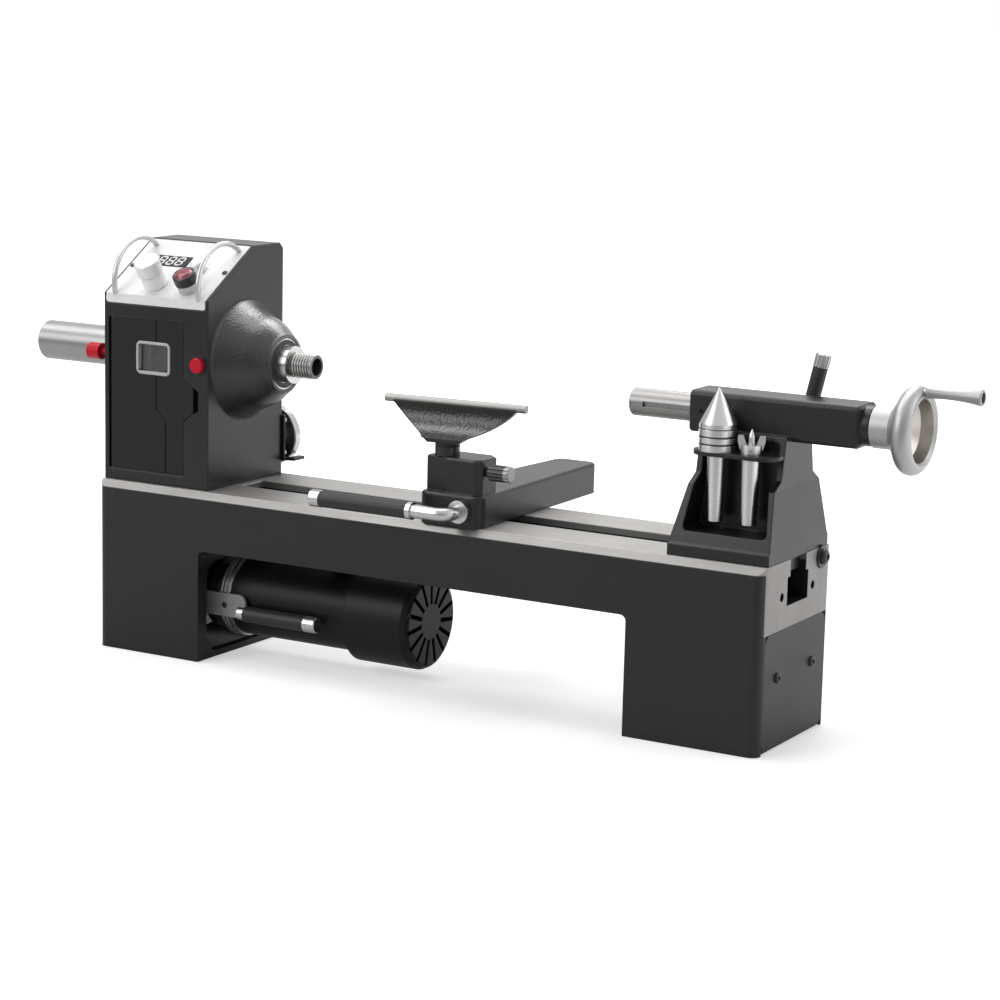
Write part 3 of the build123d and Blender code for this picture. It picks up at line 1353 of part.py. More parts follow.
with BuildPart() as rest_bar:
    rod(bar_start, rest_u, rest_bar_r, rest_bar_length)
save(rest_bar, "rest_bar")

with BuildPart() as rest_lock_knob:
    turned((0, post_y, rest_knob_z), (1, 0, 0), [
        (post_x + post_r + moving_gap, 0), (post_x + post_r + moving_gap, rest_screw_r),
        (rest_knob_left, rest_screw_r), (rest_knob_left, rest_knob_r - knob_edge),
        (rest_knob_left + knob_edge, rest_knob_r), (rest_knob_right - knob_edge, rest_knob_r),
        (rest_knob_right, rest_knob_r - knob_edge), (rest_knob_right, 0),
    ])
    flutes((rest_knob_left, post_y, rest_knob_z), (1, 0, 0), rest_knob_r, rest_knob_right - rest_knob_left)
save(rest_lock_knob, "rest_lock_knob")


quill_start = (0, 0, axis_z)
barrel_end = barrel_right + barrel_collar - barrel_end_wall

with BuildPart() as tailstock_casting:
    halves = [
        (tail_half, bed_height), (tail_half, bed_height + tail_foot),
        (tail_half - tail_foot_inset, bed_height + tail_foot + tail_foot_inset),
        (tail_shoulder_half, tail_shoulder_z), (tail_neck_half, tail_neck_z),
        (tail_neck_top_half, barrel_low + barrel_round),
    ]
    sheet(facing_right(tail_left), halves + [(-y, z) for y, z in reversed(halves)], tail_right - tail_left)
    face = [
        (tail_left, bed_height), (tail_right, bed_height), (tail_right, bed_height + tail_foot),
        (tail_waist_right, tail_shoulder_z), (tail_waist_right, barrel_high), (tail_waist_left, barrel_high),
        (tail_waist_left, tail_shoulder_z), (tail_left, bed_height + tail_foot),
    ]
    sheet(facing_front(tail_half + past), face, 2 * (tail_half + past), Mode.INTERSECT)
    with BuildSketch(facing_right(barrel_left)) as section:
        with BuildLine():
            Polyline(*rim(-barrel_half, barrel_low, barrel_half, barrel_high), close=True)
        make_face()
        fillet(section.vertices(), barrel_round)
    extrude(section.sketch, amount=barrel_right - barrel_left)
    chamfer(tailstock_casting.faces().sort_by(Axis.X)[-1].edges(), barrel_edge)
    chamfer(tailstock_casting.faces().sort_by(Axis.X)[0].edges(), barrel_edge / 2)
    rod((barrel_right - past, 0, axis_z), (1, 0, 0), barrel_collar_r, barrel_collar + past)
    rod((quill_lock_x, barrel_half - past, axis_z), (0, 1, 0), quill_lock_boss_r, past + quill_lock_boss)
    pocket = [
        (tail_left + pocket_wall + tail_corner, pocket_low), (tail_right - pocket_wall, pocket_low),
        (tail_waist_right - pocket_wall, tail_shoulder_z), (tail_waist_right - pocket_wall, barrel_low),
        (tail_waist_left + pocket_wall, barrel_low), (tail_waist_left + pocket_wall, tail_shoulder_z),
    ]
    sheet(facing_front(pocket_back), pocket, tail_half + pocket_back + past, Mode.SUBTRACT, pocket_corner)
    with BuildSketch(Plane.XY.offset(shelf_low)) as ledge:
        with BuildLine():
            Polyline(*rim(tail_waist_left + pocket_wall - past, shelf_front,
                          tail_waist_right - pocket_wall + past,
                          pocket_back + past), close=True)
        make_face()
        fillet(ledge.vertices().group_by(Axis.Y)[0], shelf_corner)
    extrude(ledge.sketch, amount=shelf_high - shelf_low)
    for x in (live_x, spur_x):
        rod((x, holder_y, shelf_low - past), (0, 0, 1), taper_mouth_r + shelf_room,
            shelf_high - shelf_low + 2 * past,
            Mode.SUBTRACT)
    rod((live_x, holder_y, shelf_high), (0, 0, 1), live_body_r + scallop_room, barrel_high - shelf_high,
        Mode.SUBTRACT)
    block((tongue_left, -tongue_width / 2, tongue_low), (tongue_right, tongue_width / 2, bed_height))
    rod((barrel_left - past, 0, axis_z), (1, 0, 0), quill_r + running_gap, barrel_end - barrel_left + past,
        Mode.SUBTRACT)
    rod((barrel_end - past, 0, axis_z), (1, 0, 0), screw_journal_r + running_gap, barrel_end_wall + 2 * past,
        Mode.SUBTRACT)
    rod((key_x, -barrel_half - past, axis_z), (0, 1, 0), key_half + seat_gap, barrel_half + past,
        Mode.SUBTRACT)
    rod((quill_lock_x, 0, axis_z), (0, 1, 0), quill_lock_r + running_gap,
        barrel_half + quill_lock_boss + past,
        Mode.SUBTRACT)
    block((clamp_x - clamp_cavity_half, -clamp_cavity_y, tongue_low - past),
          (clamp_x + clamp_cavity_half, clamp_cavity_y, clamp_cam_z + clamp_cavity_half), Mode.SUBTRACT)
    rod((clamp_x, clamp_cavity_y - past, clamp_cam_z), (0, 1, 0), clamp_shaft_r + running_gap,
        tail_half + past,
        Mode.SUBTRACT)
    rod((clamp_x, -clamp_cavity_y - clamp_tail, clamp_cam_z), (0, 1, 0), clamp_tail_r + running_gap,
        clamp_tail + past, Mode.SUBTRACT)
save(tailstock_casting, "tailstock_casting")

with BuildPart() as tailstock_clamp:
    block((clamp_x - clamp_plate_length / 2, -clamp_plate_half, plate_top - clamp_plate_thick),
          (clamp_x + clamp_plate_length / 2, clamp_plate_half, plate_top))
    fillet(tailstock_clamp.edges().filter_by(Axis.Z), clamp_plate_round)
    rod((clamp_x, 0, plate_top - clamp_plate_thick / 2), (0, 0, 1), clamp_stud_r,
        clamp_cam_z - plate_top + clamp_plate_thick / 2)
    rod((clamp_x, -clamp_eye_half, clamp_cam_z), (0, 1, 0), clamp_eye_r, 2 * clamp_eye_half)
    rod((clamp_x, -clamp_eye_half - past, clamp_cam_z), (0, 1, 0), clamp_eye_bore,
        2 * (clamp_eye_half + past),
        Mode.SUBTRACT)
save(tailstock_clamp, "tailstock_clamp")

with BuildPart() as tailstock_clamp_lever:
    rod((clamp_x, -clamp_cavity_y - clamp_tail + moving_gap, clamp_cam_z), (0, 1, 0), clamp_tail_r,
        clamp_tail + moving_gap)
    rod((clamp_x, -clamp_cavity_y + moving_gap, clamp_cam_z - clamp_throw), (0, 1, 0), clamp_pin_r,
        2 * clamp_cavity_y)
    rod((clamp_x, clamp_cavity_y + moving_gap, clamp_cam_z), (0, 1, 0), clamp_shaft_r,
        clamp_hub_back - clamp_cavity_y - moving_gap)
    rod((clamp_x, clamp_hub_front, clamp_cam_z), (0, 1, 0), clamp_hub_r, clamp_hub_back - clamp_hub_front)
    turned((clamp_x, clamp_arm_y, clamp_cam_z), (0, 0, -1), [
        (0, 0), (0, clamp_arm_r), (clamp_arm, clamp_arm_r), (clamp_arm, clamp_grip_r),
        (clamp_arm + clamp_grip_length - knob_edge, clamp_grip_r),
        (clamp_arm + clamp_grip_length, clamp_grip_r - knob_edge), (clamp_arm + clamp_grip_length, 0),
    ])
save(tailstock_clamp_lever, "tailstock_clamp_lever")

with BuildPart() as quill:
    turned(quill_start, (1, 0, 0), [
        (quill_left, taper_mouth_r), (quill_left, quill_r - knob_edge), (quill_left + knob_edge, quill_r),
        (quill_right, quill_r), (quill_right, quill_bore_r), (quill_left + taper_depth, quill_bore_r),
        (quill_left + taper_depth, taper_end_r),
    ])
    block((key_groove_left, -quill_r - past, axis_z - key_half), (key_groove_right, -quill_r + key_depth,
          axis_z + key_half), Mode.SUBTRACT)
save(quill, "quill")

with BuildPart() as quill_screw:
    turned(quill_start, (1, 0, 0), [
        (screw_left, 0), (screw_left, screw_r), (barrel_end - screw_collar, screw_r),
        (barrel_end - screw_collar, screw_collar_r), (barrel_end - moving_gap, screw_collar_r),
        (barrel_end - moving_gap, screw_journal_r), (hub_left, screw_journal_r), (hub_left, 0),
    ])
save(quill_screw, "quill_screw")

wheel_rim_low = wheel_r - (wheel_right - wheel_left) / 2 + wheel_lip

with BuildPart() as handwheel:
    with BuildSketch(Plane(origin=quill_start, x_dir=(1, 0, 0), z_dir=(0, -1, 0))) as wheel:
        with BuildLine():
            Polyline((wheel_left, wheel_rim_low), (hub_right, hub_r), (hub_left, hub_r), (hub_left, 0),
                     (hub_right + wheel_web, 0), (hub_right + wheel_web, hub_r - wheel_web),
                     (wheel_left + wheel_web, wheel_opening_r - wheel_lip),
                     (wheel_right - wheel_lip, wheel_opening_r),
                     (wheel_right, wheel_opening_r + wheel_lip), (wheel_right, wheel_rim_low))
            ThreePointArc((wheel_right, wheel_rim_low), ((wheel_left + wheel_right) / 2, wheel_r),
                          (wheel_left, wheel_rim_low))
        make_face()
    revolve(wheel.sketch, axis=Axis(quill_start, (1, 0, 0)))
    rod((crank_screw_left, 0, axis_z + crank_circle), (1, 0, 0), crank_screw_r,
        wheel_right - crank_screw_left + past, Mode.SUBTRACT)
save(handwheel, "handwheel")

crank_start = (0, 0, axis_z + crank_circle)
crank_seat = crank_right - crank_recess

with BuildPart() as crank_screw:
    turned(crank_start, (1, 0, 0), [
        (crank_screw_left, 0), (crank_screw_left, crank_screw_r), (crank_seat, crank_screw_r),
        (crank_seat, crank_screw_head_r), (crank_seat + crank_screw_head, crank_screw_head_r),
        (crank_seat + crank_screw_head, 0),
    ])
save(crank_screw, "crank_screw")

with BuildPart() as crank_handle:
    with BuildSketch(Plane(origin=crank_start, x_dir=(1, 0, 0), z_dir=(0, -1, 0))) as flare:
        with BuildLine():
            ThreePointArc((wheel_right + moving_gap, crank_root_r), (crank_waist, crank_waist_r),
                          (crank_right - knob_edge, crank_end_r))
            Polyline((crank_right - knob_edge, crank_end_r), (crank_right, crank_end_r - knob_edge),
                     (crank_right, crank_recess_r), (crank_seat - moving_gap, crank_recess_r),
                     (crank_seat - moving_gap, crank_screw_r + running_gap),
                     (wheel_right + moving_gap, crank_screw_r + running_gap),
                     (wheel_right + moving_gap, crank_root_r))
        make_face()
    revolve(flare.sketch, axis=Axis(crank_start, (1, 0, 0)))
save(crank_handle, "crank_handle")

lock_lean = (sin(radians(quill_lock_lean)), 0, cos(radians(quill_lock_lean)))

with BuildPart() as quill_lock_lever:
    head_y = barrel_half + quill_lock_boss + moving_gap
    rod((quill_lock_x, quill_r + moving_gap, axis_z), (0, 1, 0), quill_lock_r, head_y - quill_r - moving_gap)
    rod((quill_lock_x, head_y, axis_z), (0, 1, 0), quill_lock_head_r, quill_lock_head)
    turned((quill_lock_x, head_y + quill_lock_head / 2, axis_z), lock_lean, [
        (0, 0), (0, quill_lock_rod_r), (quill_lock_length - quill_lock_tip, quill_lock_rod_r),
        (quill_lock_length - quill_lock_tip, quill_lock_tip_r),
        (quill_lock_length - knob_edge, quill_lock_tip_r),
        (quill_lock_length, quill_lock_tip_r - knob_edge), (quill_lock_length, 0),
    ])
    tip_start = tuple(c + (quill_lock_length - quill_lock_tip) * d for c, d in
                      zip((quill_lock_x, head_y + quill_lock_head / 2, axis_z), lock_lean))
    flutes(tip_start, lock_lean, quill_lock_tip_r, quill_lock_tip)
save(quill_lock_lever, "quill_lock_lever")

live_start = (live_x, holder_y, 0)
taper_fall = (taper_mouth_r - taper_end_r) / taper_depth
taper_low_r = taper_mouth_r - taper_fall * (shelf_high - taper_low)

with BuildPart() as live_centre_body:
    outline = [(taper_low, 0), (taper_low, taper_low_r), (shelf_high, taper_mouth_r),
               (shelf_high, live_body_r)]
    for i in range(1, live_grooves + 1):
        at = shelf_high + i * (live_body_top - shelf_high) / (live_grooves + 1)
        outline += [(at - live_groove / 2, live_body_r), (at - live_groove / 2, live_body_r - live_groove),
                    (at + live_groove / 2, live_body_r - live_groove), (at + live_groove / 2, live_body_r)]
    outline += [(live_body_top, live_body_r), (live_body_top, live_journal_r + running_gap),
                (live_journal_low - moving_gap, live_journal_r + running_gap),
                (live_journal_low - moving_gap, 0)]
    turned(live_start, (0, 0, 1), outline)
save(live_centre_body, "live_centre_body")

with BuildPart() as live_centre_point:
    turned(live_start, (0, 0, 1), [
        (live_journal_low, 0), (live_journal_low, live_journal_r),
        (live_body_top + moving_gap, live_journal_r),
        (live_body_top + moving_gap, live_cone_r - knob_edge),
        (live_body_top + moving_gap + knob_edge, live_cone_r),
        (live_cone_z, live_cone_r), (live_tip, 0),
    ])
save(live_centre_point, "live_centre_point")

with BuildPart() as spur_centre:
    turned((spur_x, holder_y, 0), (0, 0, 1), [
        (taper_low, 0), (taper_low, taper_low_r), (shelf_high, taper_mouth_r), (shelf_high, spur_head_r),
        (spur_head_top, spur_head_r), (spur_head_top, spur_point_r), (spur_blade_top, spur_point_r),
        (spur_tip, 0),
    ])
    wing = [
        (0, spur_blade_low), (spur_head_r, spur_blade_low), (spur_blade_r, spur_blade_bend),
        (spur_blade_r, spur_blade_top),
        (spur_blade_shoulder, spur_blade_top), (spur_blade_inner, spur_head_top), (0, spur_head_top),
    ]
    for turn in range(spur_blade_count):
        heading = radians(spur_blade_angle + 360 / spur_blade_count * turn)
        blade_plane = Plane(origin=(spur_x, holder_y, 0), x_dir=(cos(heading), sin(heading), 0),
                            z_dir=(sin(heading), -cos(heading), 0))
        sheet(blade_plane.offset(-spur_blade / 2), wing, spur_blade)
save(spur_centre, "spur_centre")
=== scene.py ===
import math

import bmesh
import bpy
from mathutils import Matrix, Vector


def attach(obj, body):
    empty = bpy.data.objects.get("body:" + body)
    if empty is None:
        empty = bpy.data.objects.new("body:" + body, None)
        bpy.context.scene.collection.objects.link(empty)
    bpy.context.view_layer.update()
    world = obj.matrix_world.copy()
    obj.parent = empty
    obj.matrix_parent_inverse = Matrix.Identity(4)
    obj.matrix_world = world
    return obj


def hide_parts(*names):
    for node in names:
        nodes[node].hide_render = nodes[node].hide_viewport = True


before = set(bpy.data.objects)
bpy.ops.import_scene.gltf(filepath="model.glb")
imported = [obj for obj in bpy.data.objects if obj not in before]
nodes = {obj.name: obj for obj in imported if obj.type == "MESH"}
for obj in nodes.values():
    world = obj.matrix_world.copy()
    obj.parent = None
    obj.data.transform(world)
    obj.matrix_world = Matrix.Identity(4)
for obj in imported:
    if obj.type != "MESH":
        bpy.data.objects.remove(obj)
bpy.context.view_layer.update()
scene = bpy.context.scene

# places and sizes taken from the solids, in metres

AXIS_Z = 0.302
BED_END_X = 0.375
MACHINED_Z = 0.1685
BEVEL_TOP = 0.1748
MACHINED_END_X = 0.3745
MACHINED_END_Z = 0.1115
END_SCREW_Y = 0.0385
END_SCREW_Z = 0.068
STOP_PLACE = Vector((BED_END_X, 0.052, 0.166))
STOP_WASHER = 0.002

SLOPE = math.radians(32.5)
SLOPE_FOOT = Vector((0, -0.065, 0.367))
SLOPE_UP = Vector((0, math.cos(SLOPE), math.sin(SLOPE)))
SLOPE_OUT = Vector((0, -math.sin(SLOPE), math.cos(SLOPE)))
PANEL_SCREW_X = (-0.3685, -0.253)
PANEL_SCREW_UP = 0.046
SOCKET_LOW = 0.0001
SOCKET_HIGH = 0.0006
BEZEL_BASE = 0.0095
DIGIT_LEFT = -0.349605
DIGIT_STEP = 0.0113
DIGIT_UP = 0.05775
DIGIT_SUNK = 0.0001
DIGIT_PROUD = 0.00018

PANE = (-0.3318, -0.2952, 0.2902, 0.3178)
CONE_X = -0.2442
SEAL_X = -0.196
THREAD_LEFT = -0.184
THREAD_RIGHT = -0.159
THREAD_CREST = 0.0127
THREAD_ROOT = 0.01115
THREAD_RELIEF = 0.0016
THREAD_PITCH = 0.003175

LEVER_SCREW = (-0.236, -0.0474, 0.0557)
GRIP_LEFT = -0.2142
GRIP_Y = -0.052
GRIP_Z = 0.051
GRIP_R = 0.0084
HUB_Z = 0.25
SCOOP_MIDDLE = 0.266
SCOOP_BAND = 0.013
KNOB_CAP_X = 0.0955

KEY_SCREW = (0.281, -0.0186, AXIS_Z)
LOCK_FOOT = Vector((0.3637, 0.0328, 0.302))
LOCK_LEAN = math.radians(13.0)
LOCK_TIP = 0.0458
DISH_X = 0.463
DISH_R = 0.0298
LIVE_CENTRE = (0.308, -0.042)
LIVE_LOW = 0.2725
LIVE_HIGH = 0.2918
LIVE_R = 0.0175
MARK_PITCH = 0.003175
MARK_FOOT = AXIS_Z - 0.0045
MARK_HEAD = AXIS_Z - 0.002
MARK_EXTRA = 0.003
MARK_FRONT = -0.009
MARK_LAST = 0.268

FOOT_X = -0.3115
FOOT_HALF_X = 0.062
FOOT_HALF_Y = 0.075

CRISP = 0.0001  # the width over which one finish gives way to another


def on_slope(x, along, out=0.0):
    """A point on the control panel's slope."""
    return Vector((x, 0, 0)) + SLOPE_FOOT + along * SLOPE_UP + out * SLOPE_OUT


# node helpers

def new_tree(name):
    material = bpy.data.materials.new(name)
    material.use_nodes = True
    tree = material.node_tree
    tree.nodes.clear()
    return material, tree


def add(tree, kind, settings=None, **inputs):
    """One node. An input given as a socket is linked, anything else is set on the socket."""
    node = tree.nodes.new(kind)
    for key, value in (settings or {}).items():
        setattr(node, key, value)
    for key, value in inputs.items():
        socket = node.inputs[int(key[1:])] if key[0] == "_" else node.inputs[key.replace("_", " ")]
        if isinstance(value, bpy.types.NodeSocket):
            tree.links.new(value, socket)
        else:
            socket.default_value = value
    return node


def math_node(tree, operation, first, second=0.0):
    return add(tree, "ShaderNodeMath", {"operation": operation}, _0=first, _1=second).outputs[0]


def times(tree, first, second):
    return math_node(tree, "MULTIPLY", first, second)


def minus(tree, first, second):
    return math_node(tree, "SUBTRACT", first, second)


def larger(tree, first, second):
    return math_node(tree, "MAXIMUM", first, second)


def length(tree, first, second):
    """The length of a line with these two parts."""
    return math_node(tree, "SQRT", math_node(tree, "ADD", times(tree, first, first), times(tree, second, second)))


def dot(tree, first, second):
    return add(tree, "ShaderNodeVectorMath", {"operation": "DOT_PRODUCT"}, _0=first, _1=second).outputs["Value"]


def spread(tree, value, low, high):
    """A 0 to 1 value spread over low to high."""
    node = add(tree, "ShaderNodeMapRange", {"clamp": True}, Value=value, To_Min=low, To_Max=high)
    return node.outputs[0]


def between(tree, value, start, end):
    """0 at start, 1 at end, whichever of the two is higher."""
    node = add(tree, "ShaderNodeMapRange", {"clamp": True}, Value=value, From_Min=start, From_Max=end)
    return node.outputs[0]


def mixed(tree, factor, first, second):
    node = add(tree, "ShaderNodeMix", {"data_type": "RGBA"}, Factor=factor, _6=first, _7=second)
    return node.outputs[2]


def own_place(tree):
    return add(tree, "ShaderNodeTexCoord").outputs["Object"]


def place_parts(tree):
    return add(tree, "ShaderNodeSeparateXYZ", Vector=own_place(tree)).outputs


def off_axis(tree, place):
    """How far a point lies from the spindle's axis."""
    return length(tree, place["Y"], minus(tree, place["Z"], AXIS_Z))


def reach(tree, foot, way):
    """How far a point lies from foot along way."""
    from_foot = add(tree, "ShaderNodeVectorMath", {"operation": "SUBTRACT"}, _0=own_place(tree), _1=tuple(foot))
    return dot(tree, from_foot.outputs[0], tuple(way))


def grain(tree, scale, detail=3.0, stretch=(1, 1, 1), roughness=0.55):
    """Noise in the piece's own coordinates, so that it moves with the piece."""
    mapped = add(tree, "ShaderNodeMapping", Vector=own_place(tree), Scale=stretch).outputs[0]
    noise = add(tree, "ShaderNodeTexNoise", Vector=mapped, Scale=scale, Detail=detail, Roughness=roughness)
    return noise.outputs["Fac"]


def bumped(tree, height, distance, strength, normal):
    bump = add(tree, "ShaderNodeBump", Strength=strength, Distance=distance, Height=height, Normal=normal)
    return bump.outputs[0]


def flat_normal(tree):
    return add(tree, "ShaderNodeNewGeometry").outputs["Normal"]


def soft_edges(tree, radius):
    """A normal rounded over edges, and a mask that is 1 on them."""
    least_turn, full_turn = 0.01, 0.16
    rounded = add(tree, "ShaderNodeBevel", {"samples": 4}, Radius=radius).outputs[0]
    turned = minus(tree, 1.0, dot(tree, rounded, flat_normal(tree)))
    return rounded, between(tree, turned, least_turn, full_turn)


def dim(colour, factor):
    return tuple(min(c * factor, 1.0) for c in colour[:3]) + (1.0,)


# finishes: each gives the shader's inputs

def painted(tree, colour, rough, size, height, wear=0.5, edge=0.0012, pale=5.0):
    """Powder coat: fine pebbled grain, cloudy gloss, and paler edges, partly rubbed wear and partly a painted
    highlight.
    """
    darkest, palest, uneven = 0.7, 1.35, 0.08
    rounded, edge_wear_and_highlight = soft_edges(tree, edge)
    fine = grain(tree, 1.0 / size, detail=2.0)
    cloud = grain(tree, 11.0, detail=5.0)
    scuff = between(tree, grain(tree, 160.0, detail=4.0), 0.45, 0.7)
    # edges painted paler, partly as wear and partly as a painted highlight of light catching them
    edge_wear_and_highlight = times(tree, edge_wear_and_highlight, spread(tree, scuff, 0.25 * wear, wear))
    body = mixed(tree, cloud, dim(colour, darkest), dim(colour, palest))
    return {
        "Base_Color": mixed(tree, edge_wear_and_highlight, body, dim(colour, pale)),
        "Metallic": 0.0,
        "Roughness": spread(tree, cloud, rough - uneven, rough + uneven),
        "Normal": bumped(tree, fine, height, 0.7, rounded),
    }


def machined(tree, colour, rough, stretch, depth=0.3, edge=0.0006, height=0.00002, stain=0.25, metallic=1.0,
             round_axis=None):
    """Turned, ground or brushed metal: lines drawn out by stretch, faint stains, and rounded edges painted brighter,
    partly as wear and partly as a painted highlight.
    """
    streak, blot = 0.09, 0.05
    stained, rubbed = 0.55, 1.25
    rounded, edge_wear_and_highlight = soft_edges(tree, edge)
    lines = grain(tree, 1.0, detail=4.0, stretch=stretch, roughness=0.7)
    cloud = grain(tree, 24.0, detail=4.0)
    body = mixed(tree, lines, dim(colour, 1.0 - depth), dim(colour, 1.0 + 0.4 * depth))
    body = mixed(tree, spread(tree, cloud, 0.0, stain), body, dim(colour, stained))
    streaked = spread(tree, lines, rough - streak, rough + streak)
    inputs = {
        "Base_Color": mixed(tree, times(tree, edge_wear_and_highlight, 0.5), body, dim(colour, rubbed)),
        "Metallic": metallic,
        "Roughness": math_node(tree, "ADD", streaked, spread(tree, cloud, -blot, blot)),
        "Normal": bumped(tree, lines, height, 0.5, rounded),
    }
    if round_axis:
        turning = add(tree, "ShaderNodeTangent", {"direction_type": "RADIAL", "axis": round_axis})
        inputs["Tangent"] = turning.outputs[0]
    return inputs


def moulded(tree, colour, rough, size=0.0008, height=0.00004, edge=0.0007):
    """Moulded plastic: a light spark-eroded grain and slightly uneven gloss."""
    darkest, palest, rubbed, uneven = 0.85, 1.15, 2.2, 0.06
    rounded, edge_wear_and_highlight = soft_edges(tree, edge)
    fine = grain(tree, 1.0 / size, detail=2.0)
    cloud = grain(tree, 35.0, detail=4.0)
    body = mixed(tree, cloud, dim(colour, darkest), dim(colour, palest))
    # edges painted paler, partly as wear and partly as a painted highlight
    return {
        "Base_Color": mixed(tree, times(tree, edge_wear_and_highlight, 0.25), body, dim(colour, rubbed)),
        "Metallic": 0.0,
        "Roughness": spread(tree, cloud, rough - uneven, rough + uneven),
        "Normal": bumped(tree, fine, height, 0.5, rounded),
    }


def ground_iron(tree):
    """Ground cast iron: fine lines along the ways, cloudy oil stains, a few darker drags and a darker bevel."""
    dark, light, edge_light = (0.34, 0.332, 0.32, 1), (0.50, 0.49, 0.475, 1), (0.60, 0.59, 0.575, 1)
    dragged, oiled, bevelled = (0.30, 0.292, 0.28, 1), (0.25, 0.238, 0.222, 1), (0.17, 0.165, 0.16, 1)
    rounded, edge_wear_and_highlight = soft_edges(tree, 0.0015)
    lines = grain(tree, 1.0, stretch=(12, 900, 300), roughness=0.7)
    drags = grain(tree, 1.0, detail=4.0, stretch=(9, 70, 9))
    stain = between(tree, grain(tree, 16.0, detail=6.0), 0.42, 0.75)
    bevel = between(tree, place_parts(tree)["Z"], BEVEL_TOP, BEVEL_TOP - 4 * CRISP)
    iron = mixed(tree, lines, dark, light)
    iron = mixed(tree, spread(tree, drags, 0.0, 0.4), iron, dragged)
    iron = mixed(tree, times(tree, stain, 0.4), iron, oiled)
    iron = mixed(tree, times(tree, bevel, 0.5), iron, bevelled)
    # edges painted paler, partly as wear and partly as a painted highlight
    iron = mixed(tree, times(tree, edge_wear_and_highlight, 0.4), iron, edge_light)
    return {
        "Base_Color": iron,
        "Metallic": 0.6,
        "Roughness": spread(tree, drags, 0.36, 0.54),
        "Normal": bumped(tree, lines, 0.00002, 0.4, rounded),
    }


def clear_pane(tree):
    """Clear plastic with faint rubbing marks."""
    dark, light = (0.60, 0.61, 0.62, 1), (0.74, 0.74, 0.75, 1)
    rubbed = grain(tree, 1.0, stretch=(60, 900, 900))
    return {
        "Base_Color": mixed(tree, rubbed, dark, light),
        "Metallic": 0.0,
        "Roughness": spread(tree, rubbed, 0.03, 0.14),
        "Normal": flat_normal(tree),
    }


def hammered(tree, inputs, where, gloss, height):
    """A finish with dents where the mask is 1, and a gloss over it."""
    dents = times(tree, grain(tree, 380.0, detail=1.0), where)
    dented = bumped(tree, dents, height, 0.8, inputs["Normal"])
    return {**inputs, "Normal": dented, "Coat_Normal": dented, "Coat_Weight": times(tree, where, gloss(tree))}


# materials

def finished(material, tree, inputs, fixed):
    """The shader and the output. What is fixed is the same all over the surface."""
    shader = add(tree, "ShaderNodeBsdfPrincipled", **inputs, **(fixed or {}))
    add(tree, "ShaderNodeOutputMaterial", Surface=shader.outputs[0])
    return material


def plain(name, make, *sizes, fixed=None, **options):
    """A material of one finish."""
    material, tree = new_tree(name)
    return finished(material, tree, make(tree, *sizes, **options), fixed)


def parted(name, mask, under, over, fixed=None, see_through=False):
    """Two finishes on one piece: over where the mask is 1."""
    material, tree = new_tree(name)
    factor = mask(tree)
    low, high = under(tree), over(tree)
    turn = add(tree, "ShaderNodeMix", {"data_type": "VECTOR"}, Factor=factor, _4=low["Normal"], _5=high["Normal"])
    rough = add(tree, "ShaderNodeMix", {"data_type": "FLOAT"}, Factor=factor, _2=low["Roughness"],
                _3=high["Roughness"])
    both = {
        "Base_Color": mixed(tree, factor, low["Base_Color"], high["Base_Color"]),
        "Metallic": spread(tree, factor, low["Metallic"], high["Metallic"]),
        "Roughness": rough.outputs[0],
        "Normal": turn.outputs[1],
    }
    if "Tangent" in low:
        both["Tangent"] = low["Tangent"]
    if see_through:
        both["Transmission_Weight"] = spread(tree, factor, 0.25, 1.0)
    return finished(material, tree, both, fixed)


def preset(make, *sizes, **options):
    """A finish with its sizes filled in, which takes a tree only."""
    return lambda tree: make(tree, *sizes, **options)


# masks

def bare_iron(tree):
    """The ways, their bevel and the end face's upper half."""
    place = place_parts(tree)
    top = between(tree, place["Z"], MACHINED_Z - CRISP, MACHINED_Z + CRISP)
    end = times(tree, between(tree, place["X"], MACHINED_END_X - CRISP, MACHINED_END_X),
                between(tree, place["Z"], MACHINED_END_Z, MACHINED_END_Z + 2 * CRISP))
    return larger(tree, top, end)


def inside_pane(tree):
    """The clear part of the door's window, inside its frosted rim."""
    place = place_parts(tree)
    left, right, low, high = PANE
    wide = times(tree, between(tree, place["X"], left, left + 3 * CRISP),
                 between(tree, place["X"], right, right - 3 * CRISP))
    tall = times(tree, between(tree, place["Z"], low, low + 3 * CRISP),
                 between(tree, place["Z"], high, high - 3 * CRISP))
    return times(tree, wide, tall)


def above_base(tree):
    """The power button's black ring, above its silver base."""
    return between(tree, reach(tree, SLOPE_FOOT, SLOPE_OUT), BEZEL_BASE - CRISP, BEZEL_BASE)


def lever_tip(tree):
    """The bright tip of the quill lock lever."""
    way = (math.sin(LOCK_LEAN), 0, math.cos(LOCK_LEAN))
    return between(tree, reach(tree, LOCK_FOOT, way), LOCK_TIP - CRISP, LOCK_TIP)


def knob_cap(tree):
    """The bright cap of the tool rest's lock knob."""
    return between(tree, place_parts(tree)["X"], KNOB_CAP_X - CRISP, KNOB_CAP_X)


def on_cone(tree):
    """The hammered bearing cone on the headstock's right side."""
    return between(tree, place_parts(tree)["X"], CONE_X - 5 * CRISP, CONE_X)


def above_hub(tree):
    """The tool rest's dished face, above its round hub."""
    return between(tree, place_parts(tree)["Z"], HUB_Z, HUB_Z + 5 * CRISP)


def thread_groove_shade(tree):
    """The thread's grooves on the spindle nose, painted dark as the shade that falls in them."""
    place = place_parts(tree)
    deep = between(tree, off_axis(tree, place), THREAD_CREST - 2 * CRISP, THREAD_ROOT + 2 * CRISP)
    return times(tree, deep, between(tree, place["X"], THREAD_LEFT, THREAD_LEFT + 3 * CRISP))


